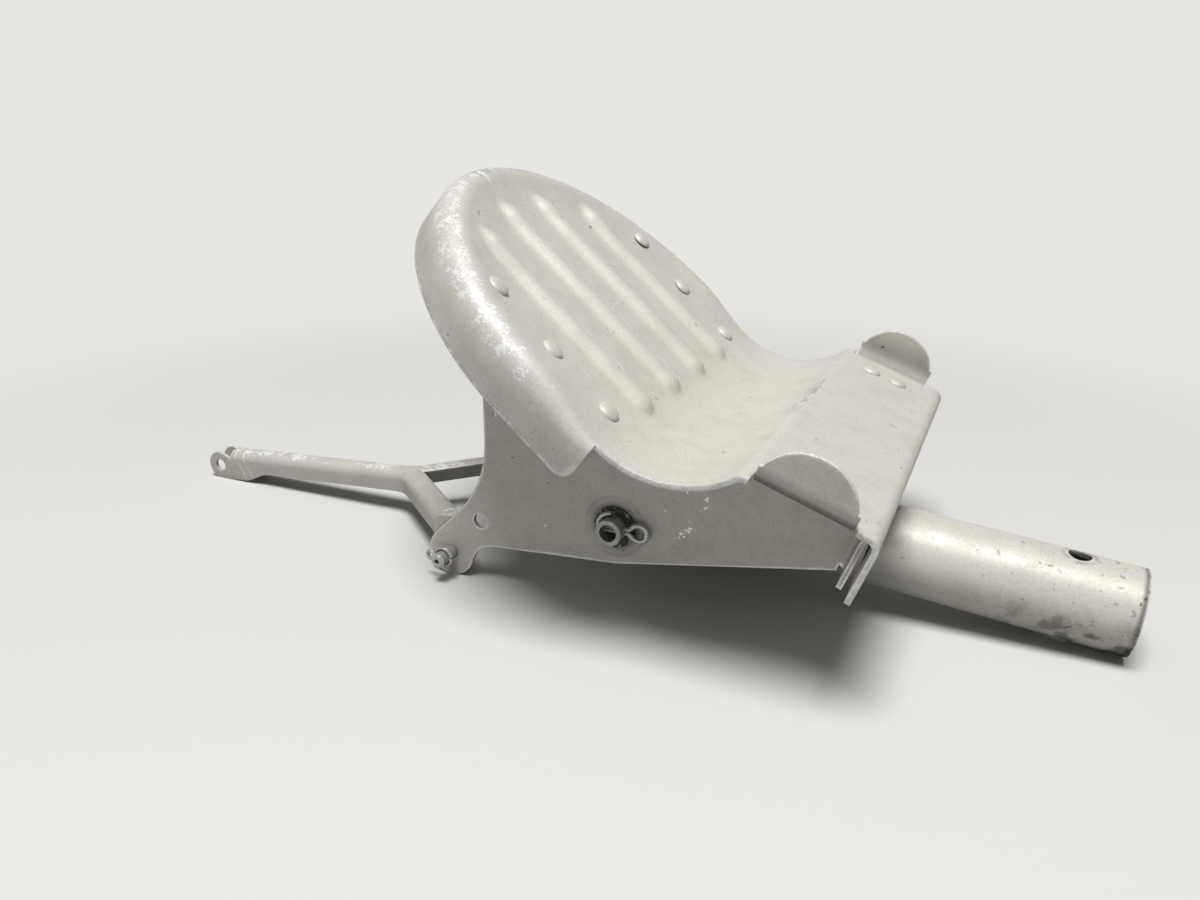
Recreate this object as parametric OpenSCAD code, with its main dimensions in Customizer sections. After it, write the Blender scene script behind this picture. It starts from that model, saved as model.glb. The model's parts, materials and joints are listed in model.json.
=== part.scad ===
// Aircraft rudder pedal with its toe-brake link, lying on a bench.
// X runs along the part with the arm's open end at +X, Y runs across it and Z is up.
// The foot plate, the arm and the link each have a frame of their own with its origin on a pivot axis.

/* [Foot plate] */
// Overall width of the foot plate
pedal_w = 140.8; // [125:0.2:170]
// Sheet thickness of the foot plate
sheet_t = 1.6; // [1:0.1:2.2]
// Slope of the toe plate
toe_slope = 41; // [36:1:46]
// Distance from the pivot axis to the toe plate's face
toe_dist = 32.1; // [30:0.1:36]
// Straight length of the toe plate's sides, below its round end
toe_side = 23; // [15:0.5:40]
// Depth of the flange rolled down round the toe plate
flange_depth = 14; // [11:0.5:20]
// Outside radius of the rolled edge
roll_r = 8; // [4:0.5:10]
// Inside radius of the saddle
saddle_r = 30; // [26:1:34]
// Outside radius of the ridge between saddle and lower plate
ridge_r = 4; // [3:0.5:6]
// Place of the ridge along the lower plate
ridge_pos = 32.5; // [30:0.5:36]
// Slope of the lower plate
lower_slope = 20; // [16:1:24]
// Distance from the pivot axis to the lower plate's face
lower_dist = 48.3; // [46:0.1:52]
// Length of the lower plate from the ridge to the lip
lower_len = 34.2; // [32:0.2:42]
// Outside radius of the lip's bend
lip_bend_r = 3.6; // [2.6:0.1:5]
// Radius of the round ears
ear_r = 12.9; // [9:0.1:14]
// Outside radius of the ears' bend
ear_bend_r = 3.4; // [2.6:0.1:5]

/* [Beads] */
// Spacing of the raised beads
bead_pitch = 22.8; // [18:0.2:26]
// Width of a bead
bead_w = 9; // [6:0.5:12]
// Height of a bead
bead_h = 2.2; // [1:0.1:3]
// Length of the two inner beads
bead_inner_len = 77; // [40:1:82]
// Length of the two outer beads
bead_outer_len = 71; // [40:1:74]
// Reach of the beads below the straight part of the toe plate
bead_lead = 1; // [0:0.2:3]

/* [Brackets] */
// Distance over the outer faces of the two brackets
bracket_span = 76.2; // [64:0.2:84]
// Sheet thickness of the brackets
bracket_t = 1.6; // [1:0.1:2.2]
// Outside radius of the bracket flanges' bends
bracket_bend_r = 3.2; // [2.4:0.1:4]
// Reach of the riveted flanges, outward from the bracket's outer face
rivet_flange_w = 21; // [18:0.5:23]
// Reach of the end flange beside the lip
end_flange_w = 12; // [6:0.5:20]
// Free space between end flange and lip
end_flange_gap = 1.2; // [0.4:0.1:3]
// Distance from the pivot axis back to the bracket's rear edge
bracket_back = 43.5; // [38:0.5:50]
// Distance from the pivot axis back to the clevis pins
clevis_back = 57.2; // [54:0.2:64]
// Distance from the pivot axis down to the clevis pins
clevis_drop = 19.5; // [17:0.1:22]
// Radius of the bracket round the clevis pin
nose_r = 8; // [6.5:0.1:9.5]
// Radius of the hollow beside the nose
notch_r = 9; // [5:0.5:12]
// Radius of the sweep on the rear edge
sweep_r = 35; // [15:1:45]
// Slope of the rear edge below its sweep
sweep_slope = 45; // [40:1:50]
// Distance from the pivot axis down to the bracket's bottom edge
bracket_drop = 12; // [10:0.5:14]
// Slope of the bottom edge behind the pivot
rear_slope = 4; // [0:0.5:6]
// Slope of the bottom edge in front of the pivot
front_slope = 10; // [6:0.5:12]
// Distance from the pivot axis back to the spare hole
spare_back = 45.9; // [44:0.1:50]
// Distance from the pivot axis down to the spare hole
spare_drop = 6.9; // [4:0.1:8]
// Diameter of the spare hole
spare_d = 4.9; // [3:0.1:6]

/* [Rivets] */
// Rivet shank diameter
rivet_d = 3.2; // [2.4:0.1:4]
// Rivet head diameter
rivet_head_d = 6.6; // [5:0.1:8]
// Rivet head height
rivet_head_h = 1.6; // [0.8:0.1:2.4]
// Spacing of the toe rivets
toe_rivet_pitch = 22.5; // [16:0.5:23]
// Distance from the middle to a row of rivets on the toe plate
toe_rivet_y = 52; // [48:0.2:54]
// Distance from the toe plate's lower end to its first rivet
toe_rivet_start = 5; // [4:0.5:8]
// Spacing of the lower plate's rivets
lower_rivet_pitch = 9.4; // [7.5:0.2:11]
// Distance from the ridge to the first of the lower plate's rivets
lower_rivet_start = 9; // [7:0.2:11]
// Distance from the middle to the lower plate's rivets
lower_rivet_y = 53.5; // [48:0.2:54]

/* [Arm] */
// Outside diameter of the arm tube
tube_d = 25.4; // [20:0.1:28]
// Wall of the arm tube
tube_wall = 1.65; // [1:0.05:3]
// Length of the arm from the pivot axis to its open end
arm_len = 141.7; // [125:0.1:200]
// Length of the arm behind the pivot axis
arm_tail = 14; // [11:0.5:18]
// Diameter of the bolt hole through the arm
bolt_d = 6.35; // [4:0.05:8]
// Distance from the arm's open end to the bolt hole
bolt_inset = 17.8; // [10:0.1:30]
// Diameter of the reamed socket in the arm's open end
socket_d = 22.6; // [22.5:0.1:23.4]
// Depth of the socket
socket_len = 60; // [30:1:100]
// Free space between the lip and the arm at its stop
stop_gap = 0.3; // [0.2:0.05:1]

/* [Pivot] */
// Outside diameter of the hollow pivot pin
pin_d = 7.94; // [6:0.01:9]
// Bore of the pivot pin
pin_bore = 5.3; // [3:0.1:5.6]
// Length of the pivot pin outside each bracket
pin_reach = 5.6; // [5:0.1:9]
// Outside diameter of the cross tube
cross_d = 14.3; // [13.6:0.1:17]
// Outside diameter of the bushes
bush_d = 11.1; // [10:0.1:11.6]
// Length of a bush inside the cross tube
bush_len = 16; // [8:0.5:20]
// Thickness of a bush's flange
bush_flange_t = 1.5; // [0.8:0.1:3]
// Diameter of the washers
washer_d = 12.7; // [11:0.1:16]
// Thickness of the washers
washer_t = 0.8; // [0.5:0.1:1.2]
// Width of the weld beads round the cross tube
weld_w = 2.4; // [1:0.1:4]
// Wire diameter of the pivot's cotter pins
cotter_d = 1.6; // [1:0.1:2]

/* [Link] */
// Distance from the clevis pins to the hole at the link's far end
link_len = 130.5; // [110:0.5:160]
// Width of the link's channel
link_w = 9; // [7:0.1:10]
// Depth of the link's channel
link_h = 8; // [6:0.1:8.5]
// Sheet thickness of the link
link_t = 1.27; // [0.9:0.01:1.6]
// Radius of the channel's rounded back
link_round_r = 3.6; // [2.4:0.1:4]
// Rise of the channel towards the fork
link_rise = 2.4; // [1:0.1:3]
// Height of the channel's back over the far hole
link_back_h = 6; // [5:0.1:7]
// Distance from the clevis pins to the fork
fork_len = 40; // [34:0.5:46]
// Radius of the link's ears round the clevis pins
link_ear_r = 7; // [5.5:0.1:7.4]
// Radius of the link's far end round its hole
link_end_r = 5.5; // [4.5:0.1:6.4]
// Diameter of the hole at the link's far end
link_hole_d = 4.8; // [3:0.1:6]
// Length of the straight lower edge of the link's far ears
far_ear_len = 14; // [10:0.5:20]
// Distance from the far hole to the start of the channel's back
back_inset = 5.6; // [3:0.1:7]

/* [Clevis pins] */
// Diameter of the clevis pins
clevis_d = 4.76; // [4:0.01:6]
// Diameter of the clevis pins' heads
clevis_head_d = 9; // [7:0.1:10]
// Thickness of the clevis pins' heads
clevis_head_t = 1.8; // [1:0.1:3]
// Length of a clevis pin outside the bracket
clevis_reach = 8.6; // [7:0.1:14]
// Distance from a clevis pin's end to its cotter hole
clevis_cotter_inset = 3.8; // [3:0.1:4.5]
// Chamfer on a clevis pin's end
clevis_chamfer = 0.6; // [0.2:0.1:1]
// Diameter of the centre mark drilled in a clevis pin's end
centre_mark_d = 1.6; // [0.8:0.1:2.4]
// Depth of the centre mark
centre_mark_depth = 1.2; // [0.4:0.1:1.6]
// Wire diameter of the clevis pins' cotter pins
clevis_cotter_d = 1.2; // [0.8:0.1:1.6]

/* [Clearances] */
// Radial clearance of a turning fit
run_fit = 0.04; // [0.02:0.01:0.08]
// Radial clearance of a fixed fit
set_fit = 0.02; // [0.01:0.01:0.05]
// Free space beside a turning face
side_gap = 0.3; // [0.2:0.05:0.6]

/* [Hidden] */
$fn = 64;
// A cut passes this far beyond the face that it opens
cut = 1;
// Pieces of one sheet run this far into each other
lap = 0.2;
// The same for the saddle and the ridge, in degrees
lap_turn = 1;
// The sheet is thinner by this much on each face where it is bent to the saddle, and twice that at the ridge
thin = 0.02;
// Steps in a turn on large rounds
smooth = 128;
// Upset tail of a rivet, in shank diameters
rivet_tail_w = 1.5;
rivet_tail_h = 0.5;
// Metal kept round a rivet, in shank diameters
rivet_edge = 1.6;
// Radius and wire of a split pin's eye, in wire diameters
split_eye_r = 1.4;
split_eye_wire = 0.66;
// Length and wire of a split pin's opened ends, in wire diameters, and the angle that each is turned by
split_end_len = 2.5;
split_end_wire = 0.5;
split_spread = 50;
paint = "#a9a294";
steel = "#8d9095";
bronze = "#a07c4a";

// Half widths
half_w = pedal_w / 2;
bracket_y = bracket_span / 2;
bracket_in = bracket_y - bracket_t;
tube_r = tube_d / 2;

// The lying pose: the brackets' noses, the arm's open end and the link's far end touch the bench
pivot_z = nose_r + clevis_drop;
arm_tilt = asin(pivot_z / norm([arm_len, tube_r])) - atan2(tube_r, arm_len);
link_tilt = asin((nose_r - link_end_r) / link_len);
front_x = arm_len * cos(arm_tilt) + tube_r * sin(arm_tilt);
rear_x = -clevis_back - link_len * cos(link_tilt) - link_end_r;
pivot_x = -(front_x + rear_x) / 2;

// Section of the foot plate in the pedal frame: the saddle touches the toe plate and the ridge
toe_dir = [-cos(toe_slope), sin(toe_slope)];
toe_nor = [sin(toe_slope), cos(toe_slope)];
low_dir = [cos(lower_slope), -sin(lower_slope)];
low_nor = [sin(lower_slope), cos(lower_slope)];
ridge_c = low_nor * (lower_dist - ridge_r) + low_dir * ridge_pos;
saddle_base = toe_nor * (toe_dist + saddle_r);
ridge_from_base = ridge_c - saddle_base;
toe_start = ridge_from_base * toe_dir
    + sqrt(pow(saddle_r + ridge_r, 2) - pow(ridge_from_base * toe_nor, 2));
saddle_c = saddle_base + toe_dir * toe_start;
saddle_to_ridge = ridge_c - saddle_c;
ridge_turn = 360 + atan2(saddle_to_ridge.y, saddle_to_ridge.x);
toe_mid = toe_start + toe_side;
lip_pos = ridge_pos + lower_len;
// Free cut beside each end of an ear, and between the rolled edge and the saddle
ear_relief = 0.7;
edge_relief = 1;
// Flat sheet between the ridge and an ear's cut
ear_lead = 0.4;
ear_pos = ridge_pos + ear_lead + ear_relief + ear_r;
// The lip ends at its stop on the arm
stop_turn = lower_slope - arm_tilt;
lip_len = lower_dist - (tube_r + stop_gap + lip_pos * sin(stop_turn)) / cos(stop_turn);

// Beads are part of a round bar with round ends
bead_r = (pow(bead_w / 2, 2) + pow(bead_h, 2)) / (2 * bead_h);
bead_start = toe_start - bead_lead;

// Bracket outline in the pedal frame
clevis = [-clevis_back, -clevis_drop];
end_flange_pos = lip_pos - sheet_t - end_flange_gap;
toe_under = toe_dist - sheet_t;
low_under = lower_dist - sheet_t;
sweep_dir = [cos(sweep_slope), sin(sweep_slope)];
nose_touch = clevis + nose_r * [-sweep_dir.y, sweep_dir.x];
sweep_corner = [-bracket_back, nose_touch.y - (bracket_back + nose_touch.x) * tan(sweep_slope)];
sweep_reach = sweep_r * tan((90 - sweep_slope) / 2);
bottom_mid = [0, -bracket_drop];
// Distance from the pivot axis back to where the notch meets the bottom edge, near enough for its slope
notch_back = clevis_back - nose_r - notch_r;
notch_z = -bracket_drop - notch_r - tan(rear_slope) * notch_back;
notch_c = [clevis.x + sqrt(pow(nose_r + notch_r, 2) - pow(notch_z - clevis.y, 2)), notch_z];
// The end flange starts below a relief cut and ends at the bracket's bottom edge, in the lower plate's frame
relief_len = 4;
end_flange_top = -sheet_t - bracket_bend_r - relief_len;
end_turn = lower_slope + front_slope;
end_flange_bottom = (end_flange_pos * sin(end_turn) - bracket_drop * cos(front_slope)) / cos(end_turn)
    - lower_dist;

// Stack of pieces along the pivot
thrust_y = bracket_in - washer_t;
bush_face = thrust_y - side_gap;
cross_end = bush_face - bush_flange_t;
cross_bore = bush_d / 2 + set_fit;
bush_bore = pin_d / 2 + run_fit;
pivot_cotter_y = bracket_y + washer_t + side_gap + cotter_d / 2;

// Stack of pieces along a clevis pin
link_ear_y = bracket_in - side_gap;
clevis_head_y = link_ear_y - link_t - side_gap;
clevis_cotter_y = bracket_y + clevis_reach - clevis_cotter_inset;

// Places and directions

module in_pedal() {
    translate([pivot_x, 0, pivot_z]) children();
}

module in_arm() {
    in_pedal() rotate([0, arm_tilt, 0]) children();
}

module in_link() {
    in_pedal() translate([clevis.x, 0, clevis.y]) rotate([0, -link_tilt, 0]) children();
}

// Toe plate frame: X up the plate from the foot of the pivot's normal, Z off the plate's face
module on_toe() {
    rotate([0, toe_slope, 0]) rotate([0, 0, 180]) translate([0, 0, toe_dist]) children();
}

// Lower plate frame: X down the plate from the foot of the pivot's normal, Z off the plate's face
module on_lower() {
    rotate([0, lower_slope, 0]) translate([0, 0, lower_dist]) children();
}

module both_sides() {
    children();
    mirror([0, 1, 0]) children();
}

// Turns a section in X and Z into a solid across Y
module across(y0, y1) {
    translate([0, y1, 0]) rotate([90, 0, 0]) linear_extrude(y1 - y0) children();
}

module along_y(r, y0, y1) {
    translate([0, y1, 0]) rotate([90, 0, 0]) cylinder(r = r, h = y1 - y0);
}

// Part of a ring between two angles, less than half a turn apart
module arc_band(centre, r_out, r_in, a0, a1) {
    far = 3 * r_out;
    mid = (a0 + a1) / 2;
    translate(centre) intersection() {
        difference() {
            circle(r = r_out, $fn = smooth);
            circle(r = r_in, $fn = smooth);
        }
        polygon([[0, 0], far * [cos(a0), sin(a0)], far * [cos(mid), sin(mid)], far * [cos(a1), sin(a1)]]);
    }
}

// Section of a sheet's quarter bend and the strip beyond it, face down at Z = 0
// X runs outward from the start of the bend
module turned_edge(r, t, depth) {
    arc_band([0, -r], r, r - t, 0, 90);
    translate([r - t, -depth]) square([t, depth - r]);
}

// Foot plate

module saddle_sheet() {
    across(-half_w, half_w) {
        arc_band(saddle_c, saddle_r + sheet_t - thin, saddle_r + thin, 270 - toe_slope - lap_turn,
            ridge_turn);
        arc_band(ridge_c, ridge_r - 2 * thin, ridge_r - sheet_t + 2 * thin, 90 - lower_slope - lap_turn,
            ridge_turn - 180 + lap_turn);
    }
}

module lower_sheet() {
    on_lower() difference() {
        across(-half_w, half_w) {
            translate([ridge_pos, -sheet_t]) square([lower_len - lip_bend_r, sheet_t]);
            translate([lip_pos - lip_bend_r, 0]) turned_edge(lip_bend_r, sheet_t, lip_len);
        }
        both_sides() translate([ear_pos - ear_r - ear_relief, half_w - ear_bend_r, -sheet_t - cut])
            cube([2 * (ear_r + ear_relief), ear_bend_r + cut, sheet_t + 2 * cut]);
    }
}

module ears() {
    inner = ear_bend_r - sheet_t;
    on_lower() both_sides() {
        translate([ear_pos - ear_r, half_w - ear_bend_r - lap, 0])
            rotate([90, 0, 90]) linear_extrude(2 * ear_r) {
                translate([0, -sheet_t]) square([lap, sheet_t]);
                translate([lap, 0]) arc_band([0, inner], ear_bend_r, inner, -90, 0);
            }
        intersection() {
            translate([ear_pos, half_w, 0]) rotate([90, 0, 0]) cylinder(r = ear_r, h = sheet_t);
            translate([ear_pos - 2 * ear_r, half_w - 2 * sheet_t, inner])
                cube([4 * ear_r, 3 * sheet_t, 2 * ear_r]);
        }
    }
}

// A short flat strip at the saddle, the straight part and the round end
module toe_face() {
    flat_w = half_w - roll_r;
    translate([0, 0, -sheet_t]) linear_extrude(sheet_t) {
        translate([toe_start, -flat_w]) square([toe_side, 2 * flat_w]);
        translate([toe_mid, 0]) intersection() {
            circle(r = flat_w, $fn = smooth);
            translate([0, -flat_w]) square([flat_w, 2 * flat_w]);
        }
    }
    both_sides() translate([toe_start + edge_relief, flat_w, 0]) rotate([90, 0, 90])
        linear_extrude(toe_side - edge_relief) turned_edge(roll_r, sheet_t, flange_depth);
    translate([toe_mid, 0, 0]) rotate([0, 0, -90]) rotate_extrude(angle = 180, $fn = smooth)
        translate([flat_w, 0]) turned_edge(roll_r, sheet_t, flange_depth);
}

module bead_bar(r, len) {
    rotate([0, 90, 0]) cylinder(r = r, h = len);
    sphere(r = r);
    translate([len, 0, 0]) sphere(r = r);
}

module each_bead() {
    for (side = [-1, 1]) {
        translate([bead_start + bead_w / 2, side * bead_pitch / 2, bead_h - bead_r]) {
            $bar = bead_inner_len - bead_w;
            children();
        }
        translate([bead_start + bead_w / 2, side * bead_pitch * 1.5, bead_h - bead_r]) {
            $bar = bead_outer_len - bead_w;
            children();
        }
    }
}

module toe_sheet() {
    on_toe() difference() {
        union() {
            toe_face();
            intersection() {
                each_bead() bead_bar(bead_r, $bar);
                translate([0, -half_w, -sheet_t]) cube([toe_mid + half_w, pedal_w, sheet_t + 2 * bead_h]);
            }
        }
        each_bead() bead_bar(bead_r - sheet_t, $bar);
    }
}

module foot_plate() {
    color(paint) in_pedal() difference() {
        union() {
            saddle_sheet();
            lower_sheet();
            ears();
            toe_sheet();
        }
        both_sides() {
            on_toe() toe_rivet_places() rivet_hole();
            on_lower() lower_rivet_places() rivet_hole();
        }
    }
}

// Rivets, each set out from its plate's face on the side of +Y in the plate's own frame

module toe_rivet_places() {
    for (k = [0 : 2])
        translate([toe_start + toe_rivet_start + k * toe_rivet_pitch, toe_rivet_y, 0]) children();
}

module lower_rivet_places() {
    for (k = [0 : 1])
        translate([ridge_pos + lower_rivet_start + k * lower_rivet_pitch, lower_rivet_y, 0]) children();
}

module rivet_hole() {
    grip = sheet_t + bracket_t;
    translate([0, 0, -grip - cut]) cylinder(r = rivet_d / 2 + set_fit, h = grip + 2 * cut);
}

// Low domed head, shank through both sheets, and a flat upset tail
module rivet() {
    grip = sheet_t + bracket_t;
    dome_r = (pow(rivet_head_d / 2, 2) + pow(rivet_head_h, 2)) / (2 * rivet_head_h);
    tail_h = rivet_tail_h * rivet_d;
    intersection() {
        translate([0, 0, rivet_head_h - dome_r]) sphere(r = dome_r);
        cylinder(r = rivet_head_d / 2, h = rivet_head_h);
    }
    translate([0, 0, -grip - tail_h]) cylinder(r = rivet_d / 2, h = grip + tail_h + lap);
    translate([0, 0, -grip - tail_h]) cylinder(r = rivet_tail_w * rivet_d / 2, h = tail_h);
}

module toe_rivets(side) {
    color(paint) in_pedal() on_toe() on_side(-side) toe_rivet_places() rivet();
}

module lower_rivets(side) {
    color(paint) in_pedal() on_lower() on_side(side) lower_rivet_places() rivet();
}

// Keeps a piece made for +Y where it is, or mirrors it to -Y
module on_side(side) {
    if (side > 0) children();
    else mirror([0, 1, 0]) children();
}

// Brackets

module bracket_outline() {
    rear_top = [-bracket_back, (toe_under + bracket_back * sin(toe_slope)) / cos(toe_slope)];
    toe_end = toe_nor * toe_under + toe_dir * toe_start;
    front_top = low_nor * low_under + low_dir * lip_pos;
    // Rear edge, sweep, nose, notch and the two bottom edges
    difference() {
        union() {
            polygon([rear_top, sweep_corner, nose_touch, clevis, notch_c, notch_c + [0, notch_r], bottom_mid,
                [front_top.x, -bracket_drop + tan(front_slope) * front_top.x], front_top, ridge_c, toe_end]);
            translate(clevis) circle(r = nose_r);
            difference() {
                polygon([sweep_corner, sweep_corner + [0, sweep_reach],
                    sweep_corner - sweep_reach * sweep_dir]);
                translate(sweep_corner + [-sweep_r, sweep_reach]) circle(r = sweep_r, $fn = smooth);
            }
        }
        translate(notch_c) circle(r = notch_r);
    }
}

// What stays of the outline below the bends of the three flanges and clear of the saddle and the ridge
module bracket_web() {
    big = 8 * clevis_back;
    difference() {
        bracket_outline();
        rotate(-toe_slope) translate([-big - toe_start, toe_under - bracket_bend_r]) square(big);
        translate(saddle_c) circle(r = saddle_r + sheet_t + side_gap, $fn = smooth);
        rotate(-lower_slope) {
            translate([ridge_pos - 2 * ridge_r, lower_dist - ridge_r]) square(big);
            translate([ridge_pos, low_under - bracket_bend_r]) square(big);
            translate([end_flange_pos - bracket_bend_r, -big]) square([big, 2 * big]);
        }
    }
}

// Flange turned outward from the web, with the bend along X and its outer face up at Z = 0
module flange(len, reach) {
    bend = bracket_bend_r;
    rotate([90, 0, 90]) linear_extrude(len) {
        translate([bracket_in + bend, 0]) mirror([1, 0]) arc_band([0, -bend], bend, bend - bracket_t, 0, 90);
        translate([bracket_in + bend, -bracket_t]) square([bracket_t + reach - bend, bracket_t]);
    }
}

// Its rear corner follows the round of the toe
module toe_flange() {
    first = toe_start + lap;
    last = (toe_under * sin(toe_slope) + bracket_back) / cos(toe_slope);
    on_toe() mirror([0, 1, 0]) translate([0, 0, -sheet_t]) intersection() {
        translate([first, 0, 0]) flange(last - first, rivet_flange_w);
        translate([0, 0, -2 * bracket_bend_r]) linear_extrude(3 * bracket_bend_r) {
            translate([toe_mid, 0]) circle(r = half_w - roll_r - lap, $fn = smooth);
            square([toe_mid, half_w - roll_r - lap]);
        }
    }
}

module lower_flange() {
    first = ridge_pos + lower_rivet_start - rivet_edge * rivet_d;
    last = ridge_pos + lower_rivet_start + lower_rivet_pitch + rivet_edge * rivet_d;
    on_lower() translate([first, 0, -sheet_t]) flange(last - first, rivet_flange_w);
}

module end_flange() {
    on_lower() translate([end_flange_pos, 0, end_flange_top]) rotate([0, 90, 0])
        flange(end_flange_top - end_flange_bottom, end_flange_w);
}

module bracket(side) {
    color(paint) in_pedal() on_side(side) difference() {
        union() {
            across(bracket_in, bracket_y) bracket_web();
            toe_flange();
            lower_flange();
            end_flange();
        }
        along_y(pin_d / 2 + set_fit, bracket_in - cut, bracket_y + cut);
        translate([clevis.x, 0, clevis.y]) along_y(clevis_d / 2 + set_fit, bracket_in - cut, bracket_y + cut);
        translate([-spare_back, 0, -spare_drop]) along_y(spare_d / 2, bracket_in - cut, bracket_y + cut);
        on_toe() mirror([0, 1, 0]) toe_rivet_places() rivet_hole();
        on_lower() lower_rivet_places() rivet_hole();
    }
}

// Arm

module arm_tube() {
    color(paint) in_arm() difference() {
        translate([-arm_tail, 0, 0]) rotate([0, 90, 0]) cylinder(r = tube_r, h = arm_len + arm_tail);
        translate([-arm_tail - cut, 0, 0]) rotate([0, 90, 0])
            cylinder(r = tube_r - tube_wall, h = arm_len + arm_tail + 2 * cut);
        translate([arm_len - socket_len, 0, 0]) rotate([0, 90, 0])
            cylinder(r = socket_d / 2, h = socket_len + cut);
        along_y(cross_d / 2 + set_fit, -tube_d, tube_d);
        translate([arm_len - bolt_inset, 0, -tube_d]) cylinder(r = bolt_d / 2, h = 2 * tube_d);
    }
}

module cross_tube() {
    color(steel) in_arm() difference() {
        along_y(cross_d / 2, -cross_end, cross_end);
        along_y(cross_bore, -cross_end - cut, cross_end + cut);
    }
}

// A fillet of weld on each side, shaped to the arm's round
module weld_beads() {
    color(steel) in_arm() both_sides() difference() {
        translate([0, tube_r + weld_w, 0]) rotate([90, 0, 0])
            cylinder(r1 = cross_d / 2 + set_fit + lap, r2 = cross_d / 2 + weld_w, h = tube_r / 2 + weld_w);
        rotate([0, 90, 0]) cylinder(r = tube_r + set_fit, h = 4 * cross_d, center = true);
        along_y(cross_d / 2 + set_fit, 0, tube_d);
    }
}

module bush(side) {
    color(bronze) in_arm() on_side(side) difference() {
        union() {
            along_y(bush_d / 2, cross_end - bush_len, bush_face);
            along_y(cross_d / 2, cross_end, bush_face);
        }
        along_y(bush_bore, cross_end - bush_len - cut, bush_face + cut);
    }
}

// Pivot hardware on the pedal

module pivot_pin() {
    reach = bracket_y + pin_reach;
    color(steel) in_pedal() difference() {
        along_y(pin_d / 2, -reach, reach);
        along_y(pin_bore / 2, -reach - cut, reach + cut);
        both_sides() translate([0, pivot_cotter_y, 0]) rotate([0, 90, 0])
            cylinder(r = cotter_d / 2 + set_fit, h = 2 * pin_d, center = true);
    }
}

module ring(y0, y1) {
    difference() {
        along_y(washer_d / 2, y0, y1);
        along_y(pin_d / 2 + set_fit, y0 - cut, y1 + cut);
    }
}

module pivot_washer(side) {
    color(steel) in_pedal() on_side(side) ring(bracket_y, bracket_y + washer_t);
}

module thrust_washer(side) {
    color(bronze) in_pedal() on_side(side) ring(thrust_y, bracket_in);
}

// Split pin along X with its eye at +X and its two ends opened
module split_pin(d, hole_r) {
    start = hole_r + d;
    eye_r = split_eye_r * d;
    translate([-start, 0, 0]) rotate([0, 90, 0]) cylinder(r = d / 2, h = 2 * start + lap);
    translate([start + eye_r, 0, 0]) rotate([90, 0, 0]) rotate_extrude()
        translate([eye_r, 0]) circle(r = split_eye_wire * d / 2);
    translate([-start, 0, 0]) sphere(r = d / 2);
    for (side = [-1, 1])
        translate([-start, 0, 0]) rotate([0, side * split_spread - 90, 0])
            cylinder(r = split_end_wire * d / 2, h = split_end_len * d);
}

module pivot_cotter(side) {
    color(steel) in_pedal() on_side(side) translate([0, pivot_cotter_y, 0])
        split_pin(cotter_d, pin_d / 2);
}

// Clevis pins

module clevis_pin(side) {
    tip = bracket_y + clevis_reach;
    color(steel) in_pedal() translate([clevis.x, 0, clevis.y]) on_side(side) difference() {
        union() {
            along_y(clevis_d / 2, clevis_head_y, tip - clevis_chamfer);
            translate([0, tip - clevis_chamfer, 0]) rotate([-90, 0, 0])
                cylinder(r1 = clevis_d / 2, r2 = clevis_d / 2 - clevis_chamfer, h = clevis_chamfer);
            along_y(clevis_head_d / 2, clevis_head_y - clevis_head_t, clevis_head_y);
        }
        along_y(centre_mark_d / 2, tip - centre_mark_depth, tip + cut);
        translate([0, clevis_cotter_y, 0]) rotate([0, 90, 0])
            cylinder(r = clevis_cotter_d / 2 + set_fit, h = 2 * clevis_d, center = true);
    }
}

module clevis_cotter(side) {
    color(steel) in_pedal() translate([clevis.x, 0, clevis.y]) on_side(side)
        translate([0, clevis_cotter_y, 0]) mirror([1, 0, 0])
        split_pin(clevis_cotter_d, clevis_d / 2);
}

// Link, in a frame whose origin is on the clevis pins and whose far hole lies along -X

fork_angle = atan2(link_ear_y - link_t / 2, fork_len);
leg_len = norm([link_ear_y, fork_len]) + link_w;

// Section of the channel, back up at Z = 0, grown inward by an inset
module channel_section(inset, below) {
    r = link_round_r - inset;
    w = link_w / 2 - inset;
    depth = link_h + below - inset;
    translate([-w, -inset - depth]) square([2 * w, depth - r]);
    translate([-w + r, -inset - r - lap]) square([2 * (w - r), r + lap]);
    for (side = [-1, 1])
        translate([side * (w - r), -inset - r]) circle(r = r);
}

module channel(len, inset, below) {
    rotate([90, 0, 90]) linear_extrude(len) channel_section(inset, below);
}

// Shank and two legs in the plane of the channel's back
module link_body(inset, below) {
    channel(link_len - fork_len, inset, below);
    for (side = [-1, 1])
        translate([link_len - fork_len, 0, 0]) rotate([0, 0, side * fork_angle])
            translate([-link_w / 2 + inset, 0, 0]) channel(leg_len, inset, below);
}

module in_channel() {
    translate([-link_len, 0, 0]) rotate([0, -link_rise, 0]) translate([0, 0, link_back_h]) children();
}

// Plate round the far hole, with a straight lower edge that runs up to the channel
module far_ear() {
    top = link_back_h - link_t;
    translate([-link_len, 0]) circle(r = link_end_r);
    polygon([[-link_len, -link_end_r], [-link_len + far_ear_len, -link_end_r],
        [-link_len + 2 * far_ear_len, link_back_h - link_h],
        [-link_len + 2 * far_ear_len, top - link_round_r / 2],
        [-link_len + far_ear_len / 2, top - link_round_r / 2], [-link_len, link_end_r]]);
}

// Plate round a clevis pin, up to the channel
module pin_ear() {
    rise = link_back_h + link_len * tan(link_rise) - link_round_r;
    circle(r = link_ear_r);
    translate([-link_ear_r, 0]) square([2 * link_ear_r, rise]);
}

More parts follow.
